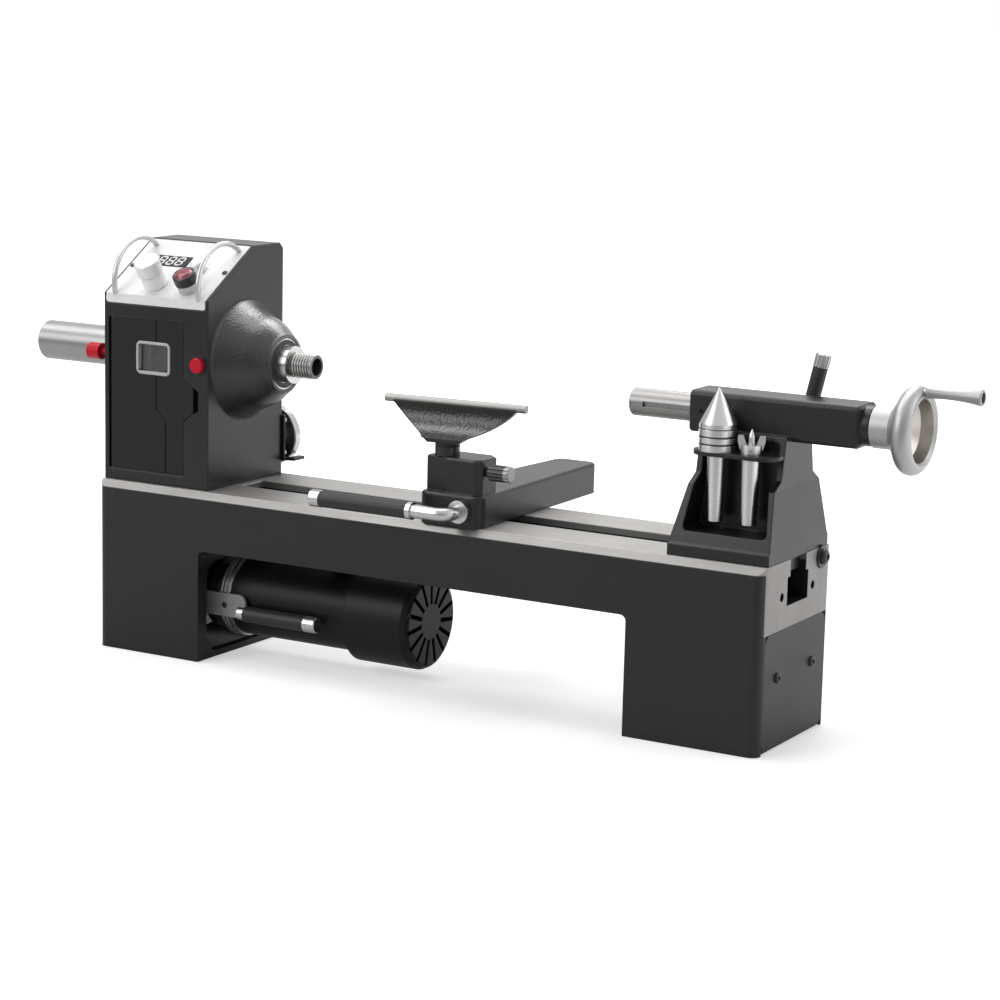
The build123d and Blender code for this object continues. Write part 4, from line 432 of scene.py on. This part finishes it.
def ring_groove_shade(tree):
    """The two turned grooves round the live centre's body, painted dark as the shade that falls in them."""
    place = place_parts(tree)
    away = length(tree, minus(tree, place["X"], LIVE_CENTRE[0]), minus(tree, place["Y"], LIVE_CENTRE[1]))
    deep = between(tree, away, LIVE_R - 3 * CRISP, LIVE_R - 6 * CRISP)
    tall = times(tree, between(tree, place["Z"], LIVE_LOW, LIVE_LOW + CRISP),
                 between(tree, place["Z"], LIVE_HIGH, LIVE_HIGH - CRISP))
    return times(tree, deep, tall)


def grip_ends(tree):
    """The bright ferrules on the belt-tension lever's strip."""
    place = place_parts(tree)
    away = length(tree, minus(tree, place["Y"], GRIP_Y), minus(tree, place["Z"], GRIP_Z))
    return times(tree, between(tree, away, GRIP_R + 2 * CRISP, GRIP_R),
                 between(tree, place["X"], GRIP_LEFT, GRIP_LEFT + CRISP))


def socket_floor_highlight(tree):
    """The floors of the sockets in the panel's screws, painted pale as a highlight of reflected light."""
    out = reach(tree, SLOPE_FOOT, SLOPE_OUT)
    return times(tree, between(tree, out, SOCKET_LOW - CRISP / 2, SOCKET_LOW),
                 between(tree, out, SOCKET_HIGH + CRISP, SOCKET_HIGH))


def wheel_dish(tree):
    """The hollow of the handwheel, which is left as turned."""
    place = place_parts(tree)
    facing = add(tree, "ShaderNodeTexCoord").outputs["Normal"]
    outward = add(tree, "ShaderNodeSeparateXYZ", Vector=facing).outputs["X"]
    hollow = times(tree, between(tree, off_axis(tree, place), DISH_R, DISH_R - 4 * CRISP),
                   between(tree, outward, -0.3, -0.1))
    return times(tree, hollow, between(tree, place["X"], DISH_X, DISH_X + 2 * CRISP))


def scale_marks(tree):
    """Engraved depth marks along the front of the quill, longer at every fourth."""
    place = place_parts(tree)
    step = math_node(tree, "FRACT", math_node(tree, "DIVIDE", place["X"], MARK_PITCH))
    fourth = math_node(tree, "FRACT", math_node(tree, "DIVIDE", place["X"], 4 * MARK_PITCH))
    thin = between(tree, step, 0.14, 0.1)
    longer = between(tree, fourth, 0.04, 0.03)
    foot = between(tree, place["Z"], MARK_FOOT, MARK_FOOT + 2 * CRISP)
    tall = math_node(tree, "ADD", MARK_HEAD, times(tree, longer, MARK_EXTRA))
    head = math_node(tree, "LESS_THAN", place["Z"], tall)
    front = between(tree, place["Y"], MARK_FRONT, MARK_FRONT - 2 * CRISP)
    shown = between(tree, place["X"], MARK_LAST, MARK_LAST - 2 * CRISP)
    marks = times(tree, times(tree, thin, foot), times(tree, head, front))
    return times(tree, marks, shown)


def cone_gloss(tree):
    """The paint lies thicker and glossier on the cone's upper half."""
    upper = between(tree, place_parts(tree)["Z"], AXIS_Z - 0.045, AXIS_Z + 0.015)
    return spread(tree, upper, 0.1, 0.95)


def scoop_gloss(tree):
    """The paint shines along the middle of the tool rest's scoop."""
    height = place_parts(tree)["Z"]
    shine = times(tree, between(tree, height, SCOOP_MIDDLE - SCOOP_BAND, SCOOP_MIDDLE),
                  between(tree, height, SCOOP_MIDDLE + SCOOP_BAND, SCOOP_MIDDLE))
    return spread(tree, shine, 0.12, 1.0)


# the palette

BLACK = (0.0098, 0.0096, 0.0098)
STEEL = (0.60, 0.592, 0.58)
ALUMINIUM = (0.40, 0.398, 0.395)

# how the lines of a metal are drawn out
TURNED_X = (2200, 25, 25)
TURNED_Z = (25, 25, 2200)
FACED = (1200, 40, 40)
EVEN = (600, 600, 600)

# what is the same all over a surface
MATT = {"Specular_IOR_Level": 0.42}
DULL = {"Specular_IOR_Level": 0.3}
TURNED = {"Anisotropic": 0.6, "Anisotropic_Rotation": 0.25}


def hammered_casting(tree):
    """Painted casting, smooth on the flat sides and hammered over the cone."""
    inputs = painted(tree, BLACK, rough=0.33, size=0.0016, height=0.00012, edge=0.0032)
    return hammered(tree, inputs, on_cone(tree), cone_gloss, 0.0005)


def hammered_rest(tree):
    """Painted casting, hammered over the tool rest's scoop."""
    inputs = painted(tree, (0.0145, 0.0128, 0.0110), rough=0.32, size=0.0016, height=0.00012, edge=0.0018)
    return hammered(tree, inputs, above_hub(tree), scoop_gloss, 0.0006)


bed_paint = preset(painted, BLACK, rough=0.45, size=0.0014, height=0.00012, edge=0.0015)
screw_paint = preset(painted, (0.014, 0.014, 0.015), rough=0.33, size=0.0006, height=0.00003, edge=0.0004)
strip_grey = preset(painted, (0.27, 0.267, 0.26), rough=0.45, size=0.0012, height=0.00006, pale=1.8)
engraved = preset(painted, (0.05, 0.048, 0.046), rough=0.5, size=0.0008, height=0.00002, wear=0.0)
quill_steel = preset(machined, (0.34, 0.334, 0.328), 0.42, TURNED_X, depth=0.2, round_axis="X")
spindle_steel = preset(machined, STEEL, 0.26, TURNED_X, depth=0.15, round_axis="X")
centre_steel = preset(machined, (0.72, 0.712, 0.70), 0.3, TURNED_Z, depth=0.18, round_axis="Z")
# a dark steel that paints the shade in the grooves of the thread and the live centre
groove_shade_steel = preset(machined, (0.14, 0.137, 0.132), 0.4, TURNED_X, depth=0.15)
bright_ferrule = preset(machined, (0.56, 0.557, 0.55), 0.3, (700, 700, 700), depth=0.06, stain=0.08, height=0.000004)
cap_steel = preset(machined, (0.30, 0.296, 0.29), 0.42, EVEN, depth=0.2, stain=0.3)
satin_silver = preset(machined, (0.55, 0.548, 0.545), 0.4, EVEN, depth=0.1, stain=0.1)
satin_wheel = preset(machined, (0.44, 0.437, 0.434), 0.46, FACED, depth=0.1, stain=0.12)
dish_metal = preset(machined, (0.52, 0.495, 0.455), 0.34, FACED, depth=0.2, stain=0.2)
black_knob = preset(moulded, (0.013, 0.013, 0.014), 0.3)
black_grip = preset(moulded, (0.0135, 0.0135, 0.0145), 0.5, size=0.0007, height=0.00006)
lever_black = preset(moulded, (0.036, 0.035, 0.035), 0.55, size=0.0007, height=0.00006)
frosted = preset(moulded, (0.62, 0.63, 0.64), 0.35, size=0.0006, height=0.00002)

paint_black = plain("black_paint", painted, BLACK, rough=0.45, size=0.0014, height=0.00012, fixed=MATT)
cast_black = plain("cast_paint", painted, BLACK, rough=0.36, size=0.0016, height=0.00016, edge=0.002, wear=0.7,
                   pale=9.0, fixed=MATT)
cone_black = plain("hammered_paint", hammered_casting, fixed={**MATT, "Coat_Roughness": 0.25})
rest_black = plain("rest_paint", hammered_rest, fixed={**DULL, "Coat_Roughness": 0.22})
motor_black = plain("motor_black", painted, (0.0062, 0.0062, 0.007), rough=0.42, size=0.0011, height=0.00007,
                    fixed={"Specular_IOR_Level": 0.22})
cast_iron = plain("cast_iron", painted, (0.055, 0.054, 0.052), rough=0.6, size=0.0016, height=0.0002, pale=3.0)
screw_black = plain("black_screws", screw_paint)

plastic_black = plain("black_plastic", moulded, (0.0085, 0.0085, 0.009), 0.44, fixed=DULL)
grip_black = plain("black_grip", black_grip)
knob_black = plain("black_knob", black_knob)
red_gloss = plain("red_plastic", moulded, (0.52, 0.003, 0.02), 0.36, fixed={"Specular_IOR_Level": 0.25})
lens_red = plain("lens_red", moulded, (0.26, 0.022, 0.045), 0.24, fixed={"Coat_Weight": 0.4, "Coat_Roughness": 0.1})
rubber = plain("rubber", moulded, (0.016, 0.016, 0.016), 0.7, size=0.0012, height=0.0001)
seal_rubber = plain("seal_rubber", moulded, (0.022, 0.022, 0.023), 0.5, size=0.0006, height=0.00004)
display_dark = plain("display", moulded, (0.012, 0.012, 0.013), 0.5, fixed=DULL)
digit_white = plain("digit_white", moulded, (0.74, 0.74, 0.73), 0.4, size=0.0005, height=0.00001, edge=0.0002)

silver_panel = plain("silver_panel", machined, (0.84, 0.84, 0.842), 0.55, (25, 900, 900), depth=0.08, stain=0.08,
                     metallic=0.1)
silver_knob = plain("silver_knob", machined, (0.90, 0.90, 0.902), 0.42, (900, 900, 300), depth=0.06, stain=0.05,
                    metallic=0.35)
guard_silver = plain("guard_silver", machined, (0.60, 0.60, 0.592), 0.36, (300, 300, 300), depth=0.06, stain=0.06,
                     metallic=0.85)
sleeve_metal = plain("aluminium_x", machined, ALUMINIUM, 0.42, TURNED_X, depth=0.14, stain=0.14, round_axis="X",
                     fixed=TURNED)
steel_x = plain("bright_steel_x", machined, STEEL, 0.25, TURNED_X, round_axis="X", fixed=TURNED)
steel_z = plain("bright_steel_z", centre_steel, fixed=TURNED)
steel_strip = plain("bright_strip", machined, (0.38, 0.374, 0.362), 0.5, (30, 900, 900))
bearing_steel = plain("bearing_steel", machined, (0.62, 0.62, 0.62), 0.25, (900, 20, 20), depth=0.2)
crank_metal = plain("crank_metal", machined, (0.38, 0.377, 0.374), 0.5, FACED, depth=0.1, stain=0.12)
chrome = plain("chrome", bright_ferrule)
bell_metal = plain("bell_metal", machined, (0.60, 0.60, 0.605), 0.42, (500, 500, 500), stain=0.3, height=0.00008)

wheel_two = parted("wheel_two", wheel_dish, satin_wheel, dish_metal)
bed_iron = parted("bed_iron", bare_iron, bed_paint, ground_iron, fixed=MATT)
marked_quill = parted("marked_quill", scale_marks, quill_steel, engraved, fixed=TURNED)
# the live centre's grooves get painted shade
grooved_centre = parted("grooved_centre", ring_groove_shade, centre_steel, groove_shade_steel, fixed=TURNED)
bezel_two = parted("bezel_two", above_base, satin_silver, black_knob)
lock_two = parted("lock_two", lever_tip, lever_black, satin_silver)
cap_two = parted("cap_two", knob_cap, black_knob, cap_steel)
# the thread's grooves get painted shade
thread_two = parted("thread_two", thread_groove_shade, spindle_steel, groove_shade_steel, fixed=TURNED)
lever_two = parted("lever_two", grip_ends, strip_grey, bright_ferrule)
# the socket floors are painted pale as a highlight
screw_two = parted("screw_two", socket_floor_highlight, screw_paint, satin_silver)
window_two = parted("window_two", inside_pane, frosted, clear_pane, fixed={"IOR": 1.45}, see_through=True)

# which finish each node has
finish = {
    "bed_casting": bed_iron, "end_cover": paint_black, "case_screws": screw_black, "stop_bolt": screw_black,
    "headstock_housing": cone_black, "bearing_outers": bearing_steel, "bearing_inners": bearing_steel,
    "belt_door": plastic_black, "door_window": window_two, "door_pins": steel_z,
    "control_panel": silver_panel, "guard_bars": guard_silver, "speed_knob": silver_knob,
    "direction_knob": silver_knob, "button_bezel": bezel_two, "power_button": lens_red,
    "speed_display": display_dark, "speed_controller": plastic_black, "lock_sleeve": knob_black,
    "lock_button": red_gloss, "index_pin": red_gloss, "faceplate": steel_x, "rear_bracket": paint_black,
    "power_inlet": plastic_black, "spindle": steel_x, "outboard_sleeve": sleeve_metal,
    "spindle_pulley": sleeve_metal, "pivot_pin": steel_x, "motor_plate": paint_black,
    "motor_end_bell": bell_metal, "motor_housing": motor_black, "fan_cover": motor_black,
    "motor_shaft": steel_x, "motor_pulley": sleeve_metal, "cooling_fan": plastic_black,
    "drive_belt": rubber, "tension_lever": lever_two, "tension_grip": grip_black,
    "rest_clamp_plate": cast_iron, "rest_clamp_bolt": steel_z, "banjo": cast_black,
    "banjo_cam_lever": chrome, "banjo_lever_grip": grip_black, "height_collar": knob_black,
    "tool_rest": rest_black, "rest_bar": steel_strip, "rest_lock_knob": cap_two,
    "tailstock_casting": cast_black, "tailstock_clamp": cast_iron, "tailstock_clamp_lever": chrome,
    "quill": marked_quill, "quill_screw": steel_x, "handwheel": wheel_two, "crank_screw": steel_x,
    "crank_handle": crank_metal, "quill_lock_lever": lock_two, "live_centre_body": grooved_centre,
    "live_centre_point": steel_z, "spur_centre": steel_z,
}
for name, node in nodes.items():
    node.data.materials.clear()
    node.data.materials.append(finish[name])


# pieces

RIGHT = (1, 0, 0)
FRONT = (0, -1, 0)


def swept(rings, place, along, sides=48):
    """Points and faces round an axis. A ring is (height, radius), the radius a number or a function of the angle."""
    turn = Vector((0, 0, 1)).rotation_difference(Vector(along)).to_matrix()
    points, faces, rows = [], [], []
    for height, radius in rings:
        row = []
        for k in range(sides if radius else 1):
            angle = 2 * math.pi * k / sides
            r = radius(angle) if callable(radius) else radius
            row.append(len(points))
            points.append(Vector(place) + turn @ Vector((r * math.cos(angle), r * math.sin(angle), height)))
        rows.append(row)
    for low, high in zip(rows, rows[1:]):
        for k in range(sides):
            n = (k + 1) % sides
            if len(low) == 1:
                faces.append((low[0], high[n], high[k]))
            elif len(high) == 1:
                faces.append((low[k], low[n], high[0]))
            else:
                faces.append((low[k], low[n], high[n], high[k]))
    return points, faces


def join(shells):
    points, faces = [], []
    for more_points, more_faces in shells:
        start = len(points)
        points += more_points
        faces += [tuple(start + i for i in face) for face in more_faces]
    return points, faces


def piece(name, shell, material, body, replaced=None):
    """A new piece that rides on a body, in place of a node where one is named."""
    mesh = bpy.data.meshes.new(name)
    mesh.from_pydata(shell[0], [], shell[1])
    mesh.materials.append(material)
    mesh.shade_smooth()
    mesh.set_sharp_from_angle(angle=math.radians(32))
    made = bpy.data.objects.new(name, mesh)
    scene.collection.objects.link(made)
    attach(made, body)
    if replaced:
        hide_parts(replaced)


def six_sided(across):
    """The radius of a hexagon as a function of the angle."""
    def radius(angle):
        turned = angle % (math.pi / 3) - math.pi / 6
        return across / 2 / math.cos(turned)
    return radius


def socket_screw(place, along, shank_r, shank, head_r, head, key):
    """A button-head screw with a hexagon socket."""
    rings = [
        (-shank, 0), (-shank, shank_r), (0, shank_r),
        (0, head_r), (0.3 * head, head_r), (0.62 * head, 0.9 * head_r), (0.86 * head, 0.76 * head_r),
        (head, 0.6 * head_r), (head, six_sided(1.08 * key)), (0.94 * head, six_sided(key)),
        (0.3 * head, six_sided(key)), (0.18 * head, 0),
    ]
    return swept(rings, place, along)


screws = [socket_screw((BED_END_X, side * END_SCREW_Y, END_SCREW_Z), RIGHT, shank_r=0.0025, shank=0.014, head_r=0.005,
                       head=0.003, key=0.004) for side in (-1, 1)]
screws += [socket_screw(on_slope(x, PANEL_SCREW_UP), SLOPE_OUT, shank_r=0.0016, shank=0.008, head_r=0.0032,
                        head=0.0016, key=0.0025) for x in PANEL_SCREW_X]
piece("case_socket_screws", join(screws), screw_two, "lathe_frame", "case_screws")

washer_rings = [(0, 0), (0, 0.0106), (0.0003, 0.011), (0.0016, 0.011), (STOP_WASHER, 0.0105), (STOP_WASHER, 0)]
stop_screw = [swept(washer_rings, STOP_PLACE, RIGHT),
              socket_screw(STOP_PLACE + Vector((STOP_WASHER, 0, 0)), RIGHT, shank_r=0.0039, shank=0.02, head_r=0.0075,
                           head=0.0048, key=0.005)]
piece("stop_button_screw", join(stop_screw), screw_black, "lathe_frame", "stop_bolt")

lever_screw = socket_screw(LEVER_SCREW, FRONT, shank_r=0.0015, shank=0.002, head_r=0.003, head=0.0014, key=0.002)
piece("tension_lever_screw", lever_screw, screw_black, "motor")

grub_rings = [
    (-0.0056, 0), (-0.0056, 0.0017), (-0.0052, 0.0021), (-0.0008, 0.0021),
    (0, 0.0025), (0.0012, 0.0025), (0.0015, 0.0023), (0.0015, six_sided(0.0027)),
    (0.0013, six_sided(0.0025)), (-0.0006, six_sided(0.0025)), (-0.001, 0),
]
piece("quill_key_screw", swept(grub_rings, KEY_SCREW, FRONT), screw_black, "tailstock")

seal_rings = [
    (-0.00005, 0.0194), (-0.00005, 0.0245), (0.0003, 0.0245), (0.00045, 0.0241), (0.00045, 0.0234),
    (0.0002, 0.0229), (0.0002, 0.0212), (0.00045, 0.0207), (0.00045, 0.0198), (0.0003, 0.0194),
    (-0.00005, 0.0194),
]
piece("front_bearing_seal", swept(seal_rings, (SEAL_X, 0, AXIS_Z), RIGHT, sides=96), seal_rubber, "lathe_frame")


def digits():
    """Four seven-bar figures, standing just proud of the display."""
    top = max((v.co - SLOPE_FOOT).dot(SLOPE_OUT) for v in nodes["speed_display"].data.vertices)
    tall, wide, thick, gap, lean = 0.0118, 0.0070, 0.0021, 0.0002, math.tan(math.radians(8))
    slim = thick / 2
    bars = [(0, y, False) for y in (tall / 2, 0, -tall / 2)]
    bars += [(x, y, True) for x in (-wide / 2, wide / 2) for y in (-tall / 4, tall / 4)]
    points, faces = [], []
    for number in range(4):
        middle = DIGIT_LEFT + DIGIT_STEP * number
        for x, y, upright in bars:
            half = (tall / 2 if upright else wide) / 2 - gap
            outline = [(-half, 0), (slim - half, -slim), (half - slim, -slim), (half, 0), (half - slim, slim),
                       (slim - half, slim)]
            if upright:
                outline = [(-b, a) for a, b in outline]
            start, corners = len(points), len(outline)
            for out in (-DIGIT_SUNK, DIGIT_PROUD):
                points += [on_slope(middle + x + a + lean * (y + b), DIGIT_UP + y + b, top + out)
                           for a, b in outline]
            low, high = range(start, start + corners), range(start + corners, start + 2 * corners)
            faces += [tuple(high), tuple(reversed(low))]
            for k in range(corners):
                n = (k + 1) % corners
                faces.append((low[k], low[n], high[n], high[k]))
    return points, faces


piece("display_digits", digits(), digit_white, "lathe_frame")


def thread_radius(x, start):
    """A 60 degree thread's radius round the spindle at x."""
    def radius(angle):
        root_share, flank_share = 0.1, 0.78
        turn = (x - start) / THREAD_PITCH - angle / (2 * math.pi)
        wave = abs(2 * (turn % 1.0) - 1)
        climb = min(max((wave - root_share) / flank_share, 0.0), 1.0)
        return THREAD_ROOT + (THREAD_CREST - THREAD_ROOT) * climb
    return radius


def threaded_spindle():
    """The spindle's own shape with a cut thread in place of the plain nose."""
    steps, sides = 84, 80
    build = bmesh.new()
    build.from_mesh(nodes["spindle"].data)

    def on_nose(vertex):
        across = math.hypot(vertex.co.y, vertex.co.z - AXIS_Z)
        return abs(across - THREAD_CREST) < CRISP and THREAD_LEFT - CRISP < vertex.co.x < THREAD_RIGHT + CRISP

    nose = [face for face in build.faces if all(on_nose(v) for v in face.verts)]
    bmesh.ops.delete(build, geom=nose, context="FACES")
    relief = THREAD_LEFT + THREAD_RELIEF
    rings = [(0, THREAD_CREST), (0, THREAD_ROOT), (relief - THREAD_LEFT, THREAD_ROOT)]
    for k in range(1, steps):
        x = relief + (THREAD_RIGHT - relief) * k / steps
        rings.append((x - THREAD_LEFT, thread_radius(x, relief)))
    rings.append((THREAD_RIGHT - THREAD_LEFT, THREAD_CREST))
    points, faces = swept(rings, (THREAD_LEFT, 0, AXIS_Z), RIGHT, sides)
    made = [build.verts.new(p) for p in points]
    for face in faces:
        build.faces.new([made[i] for i in face])
    build.verts.ensure_lookup_table()
    build.verts.index_update()
    shell = ([v.co.copy() for v in build.verts], [tuple(v.index for v in f.verts) for f in build.faces])
    build.free()
    return shell


piece("threaded_spindle", threaded_spindle(), thread_two, "spindle", "spindle")


# studio

BEHIND = (0.5, 0.866, 0)
WHITE = (1, 1, 1, 1)
ROOM_FRONT = (0.40, 0.40, 0.41, 1)
ROOM_ABOVE = (0.9, 0.9, 0.91, 1)
ROOM_LIGHT = (0.24, 0.24, 0.245, 1)
FLOOR_DARK = (0.76, 0.76, 0.76, 1)
FLOOR_LIGHT = (0.80, 0.80, 0.80, 1)
FLOOR_HALF = 14.0
FLOOR_Z = -0.0005
SENSOR = 36.0
LENS = 97.5
CAMERA_PLACE = (1.3466, -2.2460, 0.6741)
CAMERA_RIGHT = (0.8649, 0.5014, 0.0237)
CAMERA_BACK = (0.4893, -0.8526, 0.1834)


def backdrop():
    """A white sweep behind the object and a dimmer room on the camera's side; a plain grey as light."""
    world = bpy.data.worlds.new("room")
    scene.world = world
    world.use_nodes = True
    tree = world.node_tree
    tree.nodes.clear()
    rays = add(tree, "ShaderNodeLightPath").outputs
    way = add(tree, "ShaderNodeTexCoord").outputs["Generated"]
    behind = dot(tree, way, BEHIND)
    up = add(tree, "ShaderNodeSeparateXYZ", Vector=way).outputs["Z"]
    mirrored = mixed(tree, between(tree, behind, -0.45, 0.3), ROOM_FRONT, WHITE)
    mirrored = mixed(tree, between(tree, up, 0.3, 0.85), mirrored, ROOM_ABOVE)
    direct = larger(tree, rays["Is Camera Ray"], rays["Is Transmission Ray"])
    seen = mixed(tree, direct, mirrored, WHITE)
    kept = larger(tree, direct, rays["Is Glossy Ray"])
    colour = mixed(tree, kept, ROOM_LIGHT, seen)
    room = add(tree, "ShaderNodeBackground", Color=colour, Strength=1.0)
    add(tree, "ShaderNodeOutputWorld", Surface=room.outputs[0])


def floor_plane():
    """A pale floor. It fades to white away from the object, and stays dark inside the open left foot."""
    mesh = bpy.data.meshes.new("floor")
    corners = [(-FLOOR_HALF, -FLOOR_HALF), (FLOOR_HALF, -FLOOR_HALF), (FLOOR_HALF, FLOOR_HALF),
               (-FLOOR_HALF, FLOOR_HALF)]
    mesh.from_pydata([(x, y, FLOOR_Z) for x, y in corners], [], [(0, 1, 2, 3)])
    plane = bpy.data.objects.new("floor", mesh)
    scene.collection.objects.link(plane)
    material, tree = new_tree("pale_floor")
    rays = add(tree, "ShaderNodeLightPath").outputs
    pale = mixed(tree, grain(tree, 3.0, detail=2.0), FLOOR_DARK, FLOOR_LIGHT)
    place = own_place(tree)
    away = add(tree, "ShaderNodeVectorMath", {"operation": "LENGTH"}, _0=place).outputs["Value"]
    lift = spread(tree, between(tree, away, 0.7, 1.7), 0.5, 1.05)
    parts = place_parts(tree)
    aside = math_node(tree, "ABSOLUTE", minus(tree, parts["X"], FOOT_X))
    under = times(tree, math_node(tree, "LESS_THAN", aside, FOOT_HALF_X),
                  math_node(tree, "LESS_THAN", math_node(tree, "ABSOLUTE", parts["Y"]), FOOT_HALF_Y))
    lift = times(tree, lift, minus(tree, 1.0, under))
    seen = larger(tree, rays["Is Camera Ray"], rays["Is Transmission Ray"])
    mirrored = times(tree, rays["Is Glossy Ray"], between(tree, dot(tree, place, BEHIND), -0.3, 0.6))
    glow = times(tree, lift, larger(tree, seen, mirrored))
    shader = add(tree, "ShaderNodeBsdfPrincipled", Base_Color=pale, Roughness=0.9, Specular_IOR_Level=0.1,
                 Emission_Color=WHITE, Emission_Strength=glow)
    add(tree, "ShaderNodeOutputMaterial", Surface=shader.outputs[0])
    mesh.materials.append(material)


def lamp(name, place, target, size, power):
    data = bpy.data.lights.new(name, "AREA")
    data.shape = "DISK"
    data.size = size
    data.energy = power
    lit = bpy.data.objects.new(name, data)
    lit.location = place
    lit.rotation_euler = (Vector(target) - Vector(place)).to_track_quat("-Z", "Y").to_euler()
    scene.collection.objects.link(lit)


def camera():
    """The photograph's viewpoint, solved from points on the bed, headstock and tailstock."""
    data = bpy.data.cameras.new("camera")
    data.sensor_width = SENSOR
    data.lens = LENS
    data.clip_end = 60.0
    seen = bpy.data.objects.new("camera", data)
    back = Vector(CAMERA_BACK).normalized()
    up = back.cross(Vector(CAMERA_RIGHT)).normalized()
    turn = Matrix((up.cross(back), up, back)).transposed().to_4x4()
    seen.matrix_world = Matrix.Translation(CAMERA_PLACE) @ turn
    scene.collection.objects.link(seen)
    scene.camera = seen


backdrop()
floor_plane()
lamp("top", place=(-1.2, -0.35, 2.15), target=(0, 0, 0.2), size=1.3, power=16.0)
lamp("above", place=(-0.2, 0.3, 2.3), target=(0, 0, 0.2), size=1.2, power=9.0)
lamp("back", place=(-0.1, 1.4, 2.0), target=(0, 0, 0.25), size=1.1, power=20.0)
lamp("front", place=(-1.4, -2.4, 1.6), target=(0, 0, 0.2), size=1.8, power=32.0)
lamp("right", place=(2.3, 0.9, 1.3), target=(0, 0, 0.2), size=1.6, power=11.0)
camera()
scene.view_settings.view_transform = "Standard"
